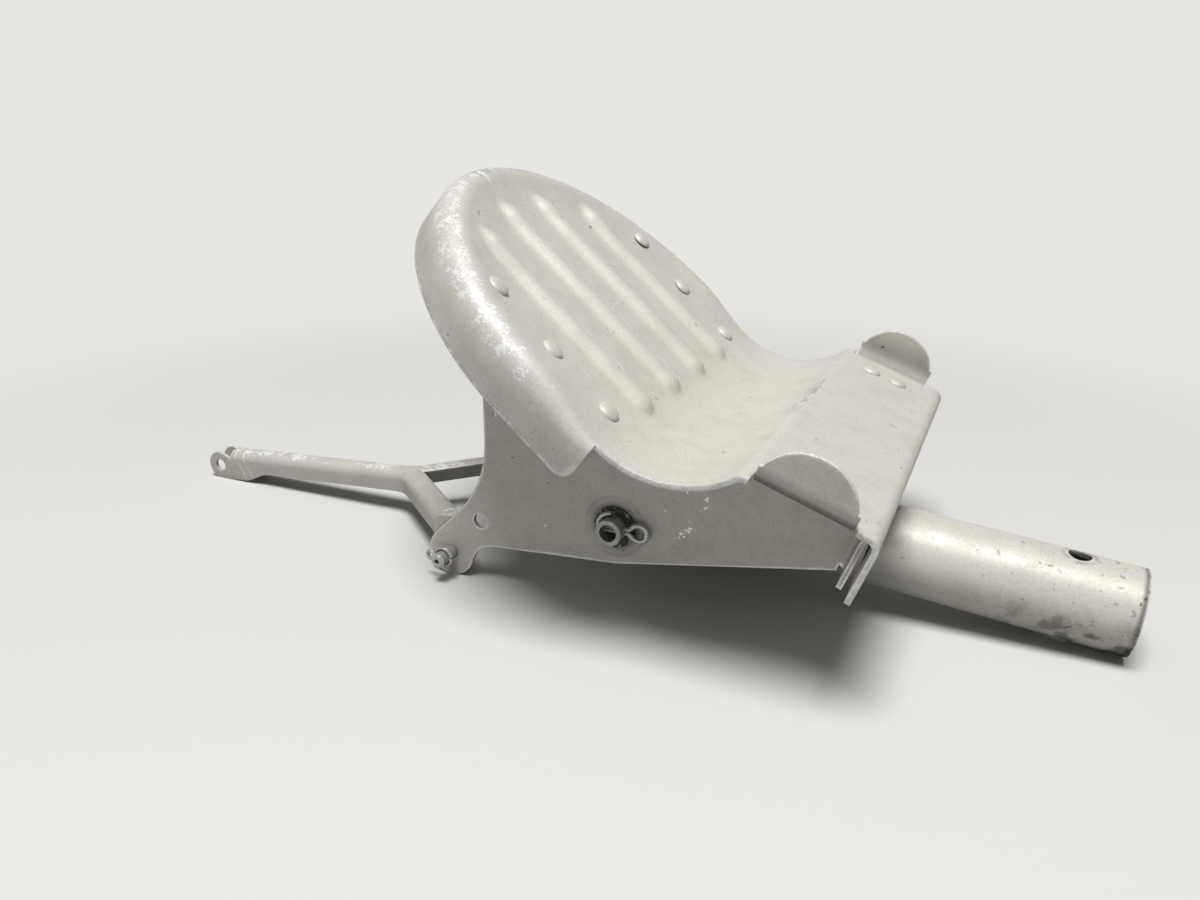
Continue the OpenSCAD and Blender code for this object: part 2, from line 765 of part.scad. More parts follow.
module brake_link() {
    far_y = link_w / 2;
    color(paint) in_link() difference() {
        union() {
            difference() {
                in_channel() link_body(0, 0);
                in_channel() link_body(link_t, link_h);
                // The channel's back stops short of the far hole
                translate([-link_len - link_w, -link_w, -2 * link_h])
                    cube([link_w + back_inset, 2 * link_w, 6 * link_h]);
                // The legs end at the ears, with room for the pins' heads
                both_sides() translate([-link_len, link_ear_y, -link_len])
                    cube([2 * link_len, link_len, 2 * link_len]);
                along_y(clevis_head_d / 2 + 2 * side_gap, -link_ear_y, link_ear_y);
            }
            both_sides() across(far_y - link_t, far_y) far_ear();
            both_sides() across(link_ear_y - link_t, link_ear_y) pin_ear();
        }
        along_y(clevis_d / 2 + run_fit, -bracket_y, bracket_y);
        translate([-link_len, 0, 0]) along_y(link_hole_d / 2, -link_w, link_w);
    }
}

arm_tube();
cross_tube();
weld_beads();
bush(-1);  // left_bush
bush(1);  // right_bush
foot_plate();
bracket(-1);  // left_bracket
bracket(1);  // right_bracket
toe_rivets(-1);  // left_toe_rivets
toe_rivets(1);  // right_toe_rivets
lower_rivets(-1);  // left_lower_rivets
lower_rivets(1);  // right_lower_rivets
pivot_pin();
pivot_washer(-1);  // left_pivot_washer
pivot_washer(1);  // right_pivot_washer
pivot_cotter(-1);  // left_pivot_cotter
pivot_cotter(1);  // right_pivot_cotter
thrust_washer(-1);  // left_thrust_washer
thrust_washer(1);  // right_thrust_washer
clevis_pin(-1);  // left_clevis_pin
clevis_pin(1);  // right_clevis_pin
clevis_cotter(-1);  // left_clevis_cotter
clevis_cotter(1);  // right_clevis_cotter
brake_link();
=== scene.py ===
import json
import math

import bmesh
import bpy
from bpy.props import FloatProperty, FloatVectorProperty, PointerProperty
from mathutils import Matrix, Vector
from mathutils.geometry import delaunay_2d_cdt


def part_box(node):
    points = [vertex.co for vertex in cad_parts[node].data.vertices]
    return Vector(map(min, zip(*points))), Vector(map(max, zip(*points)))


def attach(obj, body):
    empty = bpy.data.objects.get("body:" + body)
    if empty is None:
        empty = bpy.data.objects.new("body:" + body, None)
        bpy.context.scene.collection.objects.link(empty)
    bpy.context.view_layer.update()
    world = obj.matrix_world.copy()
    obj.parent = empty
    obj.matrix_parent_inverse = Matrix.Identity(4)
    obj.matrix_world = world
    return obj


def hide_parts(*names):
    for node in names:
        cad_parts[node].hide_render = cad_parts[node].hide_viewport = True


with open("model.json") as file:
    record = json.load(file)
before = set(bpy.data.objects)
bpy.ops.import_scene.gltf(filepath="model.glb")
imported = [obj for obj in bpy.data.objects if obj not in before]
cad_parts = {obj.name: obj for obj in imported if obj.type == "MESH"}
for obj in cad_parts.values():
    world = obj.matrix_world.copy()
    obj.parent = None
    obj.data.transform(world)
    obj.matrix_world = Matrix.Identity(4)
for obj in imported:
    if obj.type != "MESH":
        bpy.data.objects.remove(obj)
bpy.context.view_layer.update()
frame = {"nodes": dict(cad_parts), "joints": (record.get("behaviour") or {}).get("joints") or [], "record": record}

bl_info = {
    "name": "Rudder pedal dressing",
    "version": (1, 0, 0),
    "blender": (4, 5, 0),
    "location": "View3D > Sidebar > Pedal",
    "description": "Formed sheet, rivets, split pins and worn enamel for an aircraft rudder pedal",
    "category": "Object",
}

MM = 0.001
JOINTS = {joint["name"]: Vector(joint["pos_m"]) for joint in frame["joints"]}
PIVOT = JOINTS["pedal_rock"]
CLEVIS = JOINTS["link_swing"]
MOUNTS = {mount["name"]: mount for mount in frame["record"]["mounts"]}
ARM_DIR = Vector(MOUNTS["arm_socket"]["axis"]).normalized()
FAR_HOLE = Vector(MOUNTS["link_clevis_hole"]["pos_m"])
ACROSS = Vector((0, 1, 0))
UP = Vector((0, 0, 1))
# Places nearer than this count as one
HAIR = 0.01 * MM


def linear(code):
    """An sRGB hex colour as linear red, green, blue and alpha."""
    parts = [int(code[k:k + 2], 16) / 255 for k in (1, 3, 5)]
    return tuple(c / 12.92 if c <= 0.04045 else ((c + 0.055) / 1.055) ** 2.4 for c in parts) + (1.0,)


def length(name, description, mm):
    """A property that holds a length, given in millimetres."""
    return FloatProperty(name=name, description=description, default=mm * MM, precision=5,
                         subtype="DISTANCE", unit="LENGTH")


def angle(name, description, degrees):
    """A property that holds an angle, given in degrees."""
    return FloatProperty(name=name, description=description, default=math.radians(degrees),
                         subtype="ANGLE", unit="ROTATION")


def place(name, description, at):
    """A property that holds a place, given in metres."""
    return FloatVectorProperty(name=name, description=description, default=at, subtype="TRANSLATION")


def power(name, description, watts):
    """A property that holds a lamp's power, given in watts."""
    return FloatProperty(name=name, description=description, default=watts, unit="POWER")


def tint(name, description, code):
    """A property that holds a colour, given as sRGB hex."""
    return FloatVectorProperty(name=name, description=description, default=linear(code), size=4,
                               min=0, max=1, subtype="COLOR")


class PlateSizes(bpy.types.PropertyGroup):
    """Sizes of the foot plate's formed sheet, measured from the pivot axis."""
    half_w: length("Half width", "Half the foot plate's width", 70.4)
    sheet_t: length("Sheet", "Thickness of the sheet", 1.6)
    toe_slope: angle("Toe slope", "Slope of the toe plate to the bench", 41)
    toe_dist: length("Toe distance", "Distance of the toe plate's face from the pivot axis", 32.1)
    toe_start: length("Toe start", "Where the toe plate leaves the saddle, along its slope", 18.295)
    toe_side: length("Toe side", "Length of the toe plate's straight sides", 23)
    roll_r: length("Rolled edge", "Radius of the toe plate's rolled edge", 8)
    end_roll_r: length("Rolled edge's end", "Radius of the rolled edge where it ends at the saddle", 3.4)
    crest_h: length("Crest", "Rise of the toe plate's dished face towards its rolled edge", 2.9)
    crest_w: length("Crest width", "Width of the band in which the face rises", 20)
    flange_depth: length("Flange depth", "Depth of the toe plate's flange", 14)
    flange_tip_r: length("Flange tip", "Radius of the flange's lower corners", 4)
    flange_lean: length("Flange lean", "How far the flange's lower corners reach under the saddle", 1.1)
    saddle_r: length("Saddle", "Radius of the saddle", 30)
    saddle_inset: length("Saddle inset", "How much narrower the saddle is at each side", 2.1)
    ridge_r: length("Ridge", "Radius of the ridge", 4)
    ridge_pos: length("Ridge place", "Where the ridge ends, down the lower plate", 32.5)
    lower_slope: angle("Lower slope", "Slope of the lower plate to the bench", 20)
    lower_dist: length("Lower distance", "Distance of the lower plate's face from the pivot axis", 48.3)
    lip_pos: length("Lip place", "Where the lip is, down the lower plate", 66.7)
    lip_bend_r: length("Lip bend", "Outer radius of the lip's bend", 3.6)
    lip_len: length("Lip length", "Length of the lip below the lower plate's face", 18.3)
    lip_inset: length("Lip inset", "How much narrower the lip is at each side", 2.4)
    ear_r: length("Ear", "Radius of the ears", 12.9)
    ear_pos: length("Ear place", "Middle of the ears, down the lower plate", 46.5)
    ear_bend_r: length("Ear bend", "Outer radius of the ears' bend", 6)
    ear_relief: length("Ear relief", "Free cut beside each end of an ear", 0.7)
    bead_pitch: length("Bead pitch", "Distance between the raised beads", 22.8)
    bead_w: length("Bead width", "Width of a bead where it blends into the face", 9.6)
    bead_h: length("Bead height", "Height of a bead", 3)
    bead_run: length("Bead run-out", "How far the beads run into the saddle", 3)
    bead_inner_end: length("Inner bead end", "Upper end of the two inner beads", 97)
    bead_outer_end: length("Outer bead end", "Upper end of the two outer beads", 89)
    mesh_step: length("Mesh step", "Distance between points on the formed face", 1.1)


class FastenerSizes(bpy.types.PropertyGroup):
    """Sizes and places of the rivets and split pins."""
    rivet_head_d: length("Rivet head", "Diameter of a rivet's head", 6.6)
    rivet_head_h: length("Rivet height", "Height of a rivet's head", 1.6)
    rivet_d: length("Rivet shank", "Diameter of a rivet's shank", 3.2)
    rivet_grip: length("Rivet grip", "Thickness of the two sheets that a rivet holds", 3.2)
    toe_rivet_pitch: length("Toe rivet pitch", "Distance between the toe plate's rivets", 22.5)
    toe_rivet_start: length("Toe rivet start", "First rivet's distance from the saddle", 5)
    toe_rivet_y: length("Toe rivet row", "Distance of the toe rivets from the middle", 52)
    lower_rivet_pitch: length("Lower rivet pitch", "Distance between the lower plate's rivets", 9.4)
    lower_rivet_start: length("Lower rivet start", "First rivet's distance from the ridge", 9)
    lower_rivet_y: length("Lower rivet row", "Distance of the lower rivets from the middle", 53.5)
    pin_d: length("Pivot pin", "Diameter of the pivot pin", 7.94)
    cotter_d: length("Pivot split pin", "Wire of the pivot's split pins", 1.6)
    clevis_d: length("Clevis pin", "Diameter of the clevis pins", 4.76)
    clevis_cotter_d: length("Clevis split pin", "Wire of the clevis pins' split pins", 1.2)


class LinkSizes(bpy.types.PropertyGroup):
    """Sizes of the forked link's formed channel, measured from its far hole along its back."""
    far_len: length("Length", "Distance of the far hole from the clevis pins", 130.5)
    width: length("Width", "Width of the channel", 9)
    depth: length("Depth", "Depth of the channel", 8)
    sheet_t: length("Sheet", "Thickness of the sheet", 1.27)
    round_r: length("Back", "Radius of the channel's back", 3.6)
    rise: angle("Rise", "Slope of the channel's back to the line of its holes", 2.4)
    back_h: length("Back height", "Height of the back over the far hole", 6)
    fork_len: length("Fork length", "Distance of the fork's root from the clevis pins", 40)
    bend_r: length("Fork bend", "Radius of the bend into each leg", 16)
    ear_y: length("Ears", "Distance of the pin ears' outer faces from the middle", 36.2)
    ear_r: length("Ear", "Radius of the pin ears", 7)
    end_r: length("Far ear", "Radius of the ears at the far hole", 5.5)
    end_len: length("Far ear length", "Length of the far ears' straight lower edges", 12)
    back_inset: length("Back end", "Distance of the back's end from the far hole", 5.6)
    hole_d: length("Far hole", "Diameter of the far hole", 4.8)
    head_room: length("Head room", "Radius of the room for the clevis pins' heads", 4.6)
    run_fit: length("Pin fit", "Clearance of the clevis pins in their ears", 0.04)


class FinishColours(bpy.types.PropertyGroup):
    """Colours of the finishes."""
    enamel: tint("Enamel", "Pale warm grey enamel", "#d9d6cd")
    enamel_dull: tint("Dull enamel", "The same enamel where it is rubbed and dirty", "#b4b0a6")
    bare: tint("Bare metal", "Aluminium where the enamel has chipped away", "#e6e6e5")
    scuff: tint("Scuffs", "Blue-grey rubbed aluminium", "#8f97a3")
    # This dark colour is also the painted shade in corners, in the ears' bends and on the brackets' inner sides
    grime: tint("Grime", "Oily dirt in corners", "#2b2825")
    speck: tint("Specks", "Small dark pits in the enamel", "#6a655b")
    steel: tint("Plated steel", "Cadmium-plated pins and washers", "#b9bab8")
    bronze: tint("Bronze", "Oiled bearing bronze", "#a9824f")
    floor: tint("Floor", "Matt studio paper", "#d8d7d4")
    floor_bounce: tint("Floor's bounce", "Light that the studio paper throws back on the part", "#80807f")
    backdrop: tint("Backdrop", "Studio paper far behind the part", "#e7e6e3")


class StageSettings(bpy.types.PropertyGroup):
    """The camera, the lamps and the studio cove."""
    camera_place: place("Camera place", "Where the camera stands", (0.12665, -0.27801, 0.14432))
    camera_aim: place("Camera aim", "The point in the middle of the picture", (0.00352, 0.0, 0.03567))
    camera_roll: angle("Camera roll", "Turn of the camera about its line of sight", 0.46)
    lens: FloatProperty(name="Lens", description="Focal length on a 36 mm sensor", default=29.1,
                        unit="CAMERA")
    cove_r: length("Cove", "Radius of the studio floor", 1500)
    cove_rise: length("Cove rise", "Height of the studio floor's turned-up edge", 1400)
    key_place: place("Key lamp's place", "Where the large lamp overhead hangs", (0.14, -0.48, 1.8))
    key_aim: place("Key lamp's aim", "The point that the large lamp looks at", (0.0, 0.0, 0.03))
    key_size: length("Key lamp's size", "Width of the large lamp overhead", 850)
    key_power: power("Key lamp", "Power of the large lamp overhead", 37)
    fill_place: place("Fill lamp's place", "Where the lamp beside the camera stands", (0.1, -0.95, 0.25))
    fill_aim: place("Fill lamp's aim", "The point that the lamp beside the camera looks at", (0.0, 0.0, 0.04))
    fill_size: length("Fill lamp's size", "Width of the lamp beside the camera", 600)
    fill_power: power("Fill lamp", "Power of the lamp beside the camera", 0.6)
    sky: FloatProperty(name="Sky", description="Strength of the light from all round", default=0.17)


# Small tools

def add(tree, kind, sockets=None, out=0, **settings):
    """Adds a node with its settings, sets or links its inputs and gives one of its outputs."""
    node = tree.nodes.new(kind)
    for name, value in settings.items():
        setattr(node, name, value)
    for name, value in (sockets or {}).items():
        if isinstance(value, bpy.types.NodeSocket):
            tree.links.new(value, node.inputs[name])
        else:
            node.inputs[name].default_value = value
    return node.outputs[out] if len(node.outputs) else None


def spaced(start, stop, step):
    """Evenly spaced values from start to stop, about a step apart."""
    count = max(1, round(abs(stop - start) / step))
    return [start + (stop - start) * k / count for k in range(count + 1)]


def new_object(name, data):
    """An object for a mesh, a curve, a lamp or a camera, in the scene."""
    obj = bpy.data.objects.new(name, data)
    bpy.context.scene.collection.objects.link(obj)
    return obj


def as_mesh(bm, name):
    """Turns what was built point by point into a mesh."""
    mesh = bpy.data.meshes.new(name)
    bm.to_mesh(mesh)
    bm.free()
    return mesh


def thicken(obj, sheet_t):
    """Gives an outer face the thickness of its sheet, inwards."""
    wall = obj.modifiers.new("wall", "SOLIDIFY")
    wall.thickness = sheet_t
    wall.offset = -1
    wall.use_even_offset = True
    return wall


def evaluated_mesh(obj):
    """A plain mesh of an object as its modifiers or its curve settings shape it."""
    shape = bpy.context.evaluated_depsgraph_get()
    shape.update()
    return bpy.data.meshes.new_from_object(obj.evaluated_get(shape))


def plain_mesh(obj, sharp=math.radians(38)):
    """Turns an object's modifiers into a plain mesh, smooth but for its sharp edges."""
    mesh = evaluated_mesh(obj)
    old = obj.data
    obj.modifiers.clear()
    obj.data = mesh
    bpy.data.meshes.remove(old)
    mesh.name = obj.name
    mesh.shade_smooth()
    mesh.set_sharp_from_angle(angle=sharp)
    return obj


def coat(obj, *materials):
    """Gives an object its materials."""
    obj.data.materials.clear()
    for material in materials:
        obj.data.materials.append(material)


def dress(piece, body, slot, *nodes):
    """Gives a piece its body and hides the solids that it stands for. Its slot is not used."""
    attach(piece, body)
    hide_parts(*nodes)


def finish_nodes(material, *nodes):
    """Gives solids of the frame a material."""
    for name in nodes:
        coat(frame["nodes"][name], material)


def smooth(value):
    """A smooth step from 0 to 1."""
    t = min(1.0, max(0.0, value))
    return t * t * (3 - 2 * t)


def both(*names):
    """The left and the right of each named piece."""
    return [side + name for name in names for side in ("left_", "right_")]


def sloped(slope, sense):
    """Directions along and off a plate that slopes down towards +X, as seen from the side."""
    along = Vector((sense * math.cos(slope), 0, -sense * math.sin(slope)))
    off = Vector((math.sin(slope), 0, math.cos(slope)))
    return along, off


def on_plate(slope, sense, dist, u, v, w):
    """A point u along a plate, v across it and w off its face."""
    along, off = sloped(slope, sense)
    return PIVOT + along * u + ACROSS * v + off * (dist + w)


def on_toe(s, u, v, w=0):
    """A point on the toe plate: u up its slope, v across and w off its face."""
    return on_plate(s.toe_slope, -1, s.toe_dist, u, v, w)


def on_lower(s, u, v, w=0):
    """A point on the lower plate: u down its slope, v across and w off its face."""
    return on_plate(s.lower_slope, 1, s.lower_dist, u, v, w)


# Patterns and materials

def chart(tree, at, origin, direction):
    """Distance of each point from an origin along a direction."""
    offset = add(tree, "ShaderNodeVectorMath", {0: at, 1: origin}, operation="SUBTRACT")
    return add(tree, "ShaderNodeVectorMath", {0: offset, 1: direction}, out=1, operation="DOT_PRODUCT")


def mask(tree, *parts):
    """Parts multiplied: other masks, plain shares and limits on a value.

    A limit (value, zero, one) rises smoothly from 0 to 1 between two values. A limit (value, low, high, soft)
    is 1 between two values, with soft edges."""
    result = None
    for part in parts:
        factors = [part]
        if isinstance(part, tuple):
            value, low, high, *soft = part
            ends = [(low - soft[0], low), (high + soft[0], high)] if soft else [(low, high)]
            factors = [add(tree, "ShaderNodeMapRange", {0: value, 1: zero, 2: one},
                           interpolation_type="SMOOTHSTEP") for zero, one in ends]
        for factor in factors:
            if result is None:
                result = factor
            else:
                result = add(tree, "ShaderNodeMath", {0: result, 1: factor}, operation="MULTIPLY")
    return result


def total(tree, *values):
    """Several masks added. Those that are plainly 0 are left out."""
    values = [value for value in values if value != 0.0]
    result = values[0]
    for value in values[1:]:
        result = add(tree, "ShaderNodeMath", {0: result, 1: value}, operation="ADD")
    return result


def layered(tree, colour, *layers):
    """A colour with others laid over it, each by a mask of its own."""
    for share, tone in layers:
        colour = add(tree, "ShaderNodeMix", {0: share, 6: colour, 7: tone}, out=2, data_type="RGBA")
    return colour


def grain(tree, at, size, detail=3.0, roughness=0.55, over=None, stretch=None):
    """Random blotches of about a size: soft ones, or only those over a level, which is given by its two ends.

    They are drawn out along the axes where the stretch is below 1."""
    if stretch:
        at = add(tree, "ShaderNodeVectorMath", {0: at, 1: stretch}, operation="MULTIPLY")
    noise = add(tree, "ShaderNodeTexNoise",
                {"Vector": at, "Scale": 1 / size, "Detail": detail, "Roughness": roughness})
    return mask(tree, (noise, *over)) if over else noise


def strokes(tree, at, stretch):
    """Fine strokes, 0.7 mm wide, such as rubbing leaves."""
    return grain(tree, at, 0.7 * MM, 2.0, over=(0.47, 0.6), stretch=stretch)


def edges(tree, radius):
    """1 on outer and inner edges, out to a radius from them."""
    rounded = add(tree, "ShaderNodeBevel", {"Radius": radius}, samples=4)
    normal = add(tree, "ShaderNodeNewGeometry", out="Normal")
    agree = add(tree, "ShaderNodeVectorMath", {0: rounded, 1: normal}, out=1, operation="DOT_PRODUCT")
    return mask(tree, (agree, 0.995, 0.88))


def corners(tree, reach):
    """1 deep in corners and crevices, out to a reach, from ambient occlusion. It darkens them as painted shade."""
    open_sky = add(tree, "ShaderNodeAmbientOcclusion", {"Distance": reach}, out="AO", samples=4)
    return mask(tree, (open_sky, 0.75, 0.2))


def new_material(name):
    """An empty material, its node tree and the place of each point on its piece."""
    material = bpy.data.materials.new(name)
    material.use_nodes = True
    tree = material.node_tree
    tree.nodes.clear()
    return material, tree, add(tree, "ShaderNodeTexCoord", out="Object")


def worn_enamel(name, wear=None, chips=0.0, bare_metal=None):
    """Brushed-on enamel over aluminium sheet: satin, pale grey, rubbed dull, with pits and bright chips, and
    painted shade in its corners.

    The wear function gives, from place to place, how much easier the enamel chips, how much darker it is from
    soiling and painted shade, and how scuffed. Without one it chips alike all over. Bare metal says how metallic
    the chips are."""
    colours = bpy.context.scene.pedal_finish
    material, tree, at = new_material(name)
    chips, dirt_and_shade, scuffed = wear(tree, at) if wear else (chips, 0.0, None)
    # Chips: a rough field of 4 mm and 0.9 mm flakes, which edges and worn places lift over a threshold
    flakes = total(tree, mask(tree, grain(tree, at, 4 * MM, 6.0, 0.7), 0.6),
                   mask(tree, grain(tree, at, 0.9 * MM, 2.0), 0.4))
    lifted = total(tree, flakes, mask(tree, edges(tree, 1.1 * MM), 0.21), chips)
    chip = mask(tree, (lifted, 0.69, 0.72))
    # Darkening: painted shade in corners, and what the wear function gives. The enamel is rubbed in 9 mm patches
    # over a mottle of 30 mm
    soil_and_shade = total(tree, mask(tree, corners(tree, 7 * MM), 0.45), dirt_and_shade)
    rubbed = grain(tree, at, 9 * MM, 5.0, 0.65, over=(0.42, 0.68))
    mottle = grain(tree, at, 30 * MM)
    sand = grain(tree, at, 0.7 * MM, 2.0, over=(0.4, 0.62))
    shade = total(tree, mask(tree, rubbed, 0.22), mask(tree, mottle, 0.25), mask(tree, sand, 0.22))
    pits = grain(tree, at, 2.4 * MM, 2.0, over=(0.735, 0.76))
    layers = [(shade, colours.enamel_dull), (mask(tree, pits, 0.8), colours.speck), (soil_and_shade, colours.grime)]
    if scuffed:
        layers.append((scuffed, colours.scuff))
    colour = layered(tree, colours.enamel, *layers, (chip, colours.bare))
    rough = add(tree, "ShaderNodeMapRange", {0: total(tree, shade, soil_and_shade), 3: 0.44, 4: 0.66})
    # Orange peel of 0.9 mm in the enamel, and the step down into a chip
    unchipped = add(tree, "ShaderNodeMath", {0: 1.0, 1: chip}, operation="SUBTRACT")
    peel = total(tree, mask(tree, grain(tree, at, 0.9 * MM, 1.0), 0.25), unchipped)
    rounded = add(tree, "ShaderNodeBevel", {"Radius": 0.4 * MM}, samples=4)
    bump = add(tree, "ShaderNodeBump",
               {"Strength": 0.5, "Distance": 0.08 * MM, "Height": peel, "Normal": rounded})
    metal = 0.12
    if bare_metal:
        metal = add(tree, "ShaderNodeMapRange", {0: chip, 3: metal, 4: bare_metal})
    shader = add(tree, "ShaderNodeBsdfPrincipled", {
        "Base Color": colour, "Roughness": rough, "Normal": bump, "Metallic": metal})
    add(tree, "ShaderNodeOutputMaterial", {"Surface": shader})
    return material


def plated_steel(name, soot=0.0):
    """Turned steel with cadmium plating: dull grey metal with fine scratches, its corners darkened in blotches as
    painted shade.

    Soot is how much black oil lies all over it."""
    colours = bpy.context.scene.pedal_finish
    material, tree, at = new_material(name)
    faded = mask(tree, grain(tree, at, 2.5 * MM, 5.0, 0.65, over=(0.35, 0.7)), 0.5)
    # Painted shade in corners from ambient occlusion, and black oil all over as much as the soot says, both broken
    # into blotches
    oil_and_shade = total(tree, mask(tree, corners(tree, 4 * MM), 0.9), soot)
    dirt_and_shade = mask(tree, oil_and_shade, grain(tree, at, 1.6 * MM, 4.0, over=(0.25, 0.55)))
    colour = layered(tree, colours.steel, (faded, colours.enamel_dull), (dirt_and_shade, colours.grime))
    rough = add(tree, "ShaderNodeMapRange", {0: total(tree, faded, dirt_and_shade), 3: 0.32, 4: 0.6})
    metal = add(tree, "ShaderNodeMapRange", {0: dirt_and_shade, 3: 0.55, 4: 0.05})
    fine = grain(tree, at, 0.5 * MM, 2.0)
    bump = add(tree, "ShaderNodeBump", {"Strength": 0.3, "Distance": 0.03 * MM, "Height": fine})
    shader = add(tree, "ShaderNodeBsdfPrincipled", {
        "Base Color": colour, "Roughness": rough, "Metallic": metal, "Normal": bump})
    add(tree, "ShaderNodeOutputMaterial", {"Surface": shader})
    return material


def bearing_bronze(name):
    """Turned and oiled bronze: warm brown metal with dark oil stains."""
    colours = bpy.context.scene.pedal_finish
    material, tree, at = new_material(name)
    stain = grain(tree, at, 2 * MM, 4.0, over=(0.45, 0.75))
    colour = layered(tree, colours.bronze, (mask(tree, stain, 0.6), colours.grime))
    rough = add(tree, "ShaderNodeMapRange", {0: stain, 3: 0.3, 4: 0.55})
    shader = add(tree, "ShaderNodeBsdfPrincipled",
                 {"Base Color": colour, "Roughness": rough, "Metallic": 1.0})
    add(tree, "ShaderNodeOutputMaterial", {"Surface": shader})
    return material


def foot_plate_wear(tree, at):
    """Chips on the rolled edge, beads and ridge, scuffs on the top and the ridge, soft blotches darker low on the
    rolled edge and flange, and painted shade in the ears' bends and at one ear's root.
    """
    s = bpy.context.scene.pedal_plate
    toe_along, toe_off = sloped(s.toe_slope, -1)
    low_along, low_off = sloped(s.lower_slope, 1)
    u = chart(tree, at, PIVOT, toe_along)
    v = chart(tree, at, PIVOT, ACROSS)
    w = chart(tree, at, PIVOT + toe_off * s.toe_dist, toe_off)
    low_u = chart(tree, at, PIVOT, low_along)
    low_w = chart(tree, at, PIVOT + low_off * s.lower_dist, low_off)
    to_side = add(tree, "ShaderNodeMath", {0: v}, operation="ABSOLUTE")
    beyond = add(tree, "ShaderNodeMath", {0: u, 1: s.toe_start + s.toe_side}, operation="SUBTRACT")
    beyond = add(tree, "ShaderNodeMath", {0: beyond, 1: 0.0}, operation="MAXIMUM")
    across = add(tree, "ShaderNodeCombineXYZ", {0: beyond, 1: v})
    out_from_middle = add(tree, "ShaderNodeVectorMath", {0: across}, out=1, operation="LENGTH")
    on_toe_plate = mask(tree, (u, s.toe_start, s.toe_start + 2 * MM))
    # The rolled edge's crest is chipped down one side, more so higher up, and scuffed at the top
    flat_w = s.half_w - s.roll_r
    rim = mask(tree, (out_from_middle, flat_w + 1.5 * MM, flat_w + 4 * MM), on_toe_plate,
               (w, -7 * MM, -2 * MM))
    higher_up = mask(tree, (u, s.toe_start + 10 * MM, s.toe_start + 34 * MM), 0.75)
    crest = mask(tree, rim, (v, -6 * MM, -24 * MM), total(tree, 0.25, higher_up), 0.18)
    top = s.toe_start + s.toe_side + flat_w
    top_rim = mask(tree, rim, (u, top - 11.7 * MM, top - 1.7 * MM))
    top_scuff = mask(tree, top_rim, (v, -13 * MM, 18 * MM, 6 * MM), strokes(tree, at, (0.12, 1.0, 0.12)), 0.8)
    top_chips = mask(tree, top_rim, (v, -14 * MM, -2 * MM, 5 * MM), 0.12)
    flange_edge = mask(tree, (w, 1.6 * MM - s.flange_depth, 0.6 * MM - s.flange_depth), on_toe_plate, 0.2)
    # Darker in soft blotches from partway down the rolled edge onto the flange
    darker_rim_sides = mask(tree, (w, -3 * MM, -9 * MM), on_toe_plate, grain(tree, at, 12 * MM, 4.0), 0.4)
    # Three of the beads have lost enamel in short lines along their tops
    bead_tops = mask(tree, on_toe_plate, (w, 0.55 * s.bead_h, 0.75 * s.bead_h),
                     grain(tree, at, 9 * MM, over=(0.42, 0.56)))
    bead_lines = []
    for row, amount in ((-1.5, 0.28), (-0.5, 0.24), (0.5, 0.16)):
        line = row * s.bead_pitch + 0.11 * s.bead_w
        bead_lines.append(mask(tree, bead_tops, (v, line - 0.5 * MM, line + 0.5 * MM, 0.8 * MM), amount))
    # The ridge is scuffed along its middle, and a few scratches lie near the lip
    ridge = mask(tree, (low_u, s.ridge_pos - 4 * MM, s.ridge_pos - 1.5 * MM, 1.2 * MM),
                 (v, -6 * MM, 22 * MM, 10 * MM), (low_w, -4 * MM, -1 * MM))
    ridge_scuff = mask(tree, ridge, strokes(tree, at, (1.0, 0.1, 1.0)), 0.75)
    scratches = mask(tree, (low_u, s.lip_pos - 12 * MM, s.lip_pos - 4 * MM, 3 * MM),
                     (v, 8 * MM, 24 * MM, 8 * MM), grain(tree, at, 5 * MM, over=(0.52, 0.6)),
                     strokes(tree, at, (0.3, 1.0, 0.3)), 0.6)
    # The ears' inner bends are darkened as painted shade, fading upwards. The ear on the -Y side is darkened
    # outside as painted shade, most at its root, in soft blotches
    ears = mask(tree, (low_u, s.ear_pos - s.ear_r, s.ear_pos + s.ear_r, 1.5 * MM))
    bends = mask(tree, ears, (to_side, s.half_w - 1.1 * s.ear_bend_r, s.half_w - 3.5 * MM),
                 (to_side, s.half_w - 0.3 * MM, s.half_w - 1.2 * MM), (low_w, 17 * MM, 3 * MM), 0.5)
    root_shade_and_blotches = total(tree, mask(tree, (low_w, 0.5 * MM, -1.2 * MM), 0.3),
                    mask(tree, grain(tree, at, 6 * MM, 4.0), 0.22))
    outside = mask(tree, ears, (v, 4 * MM - s.half_w, 2 * MM - s.half_w), root_shade_and_blotches)
    chips = total(tree, crest, top_chips, flange_edge, mask(tree, ridge, 0.13), *bead_lines)
    return chips, total(tree, darker_rim_sides, outside, bends), total(tree, top_scuff, ridge_scuff, scratches)


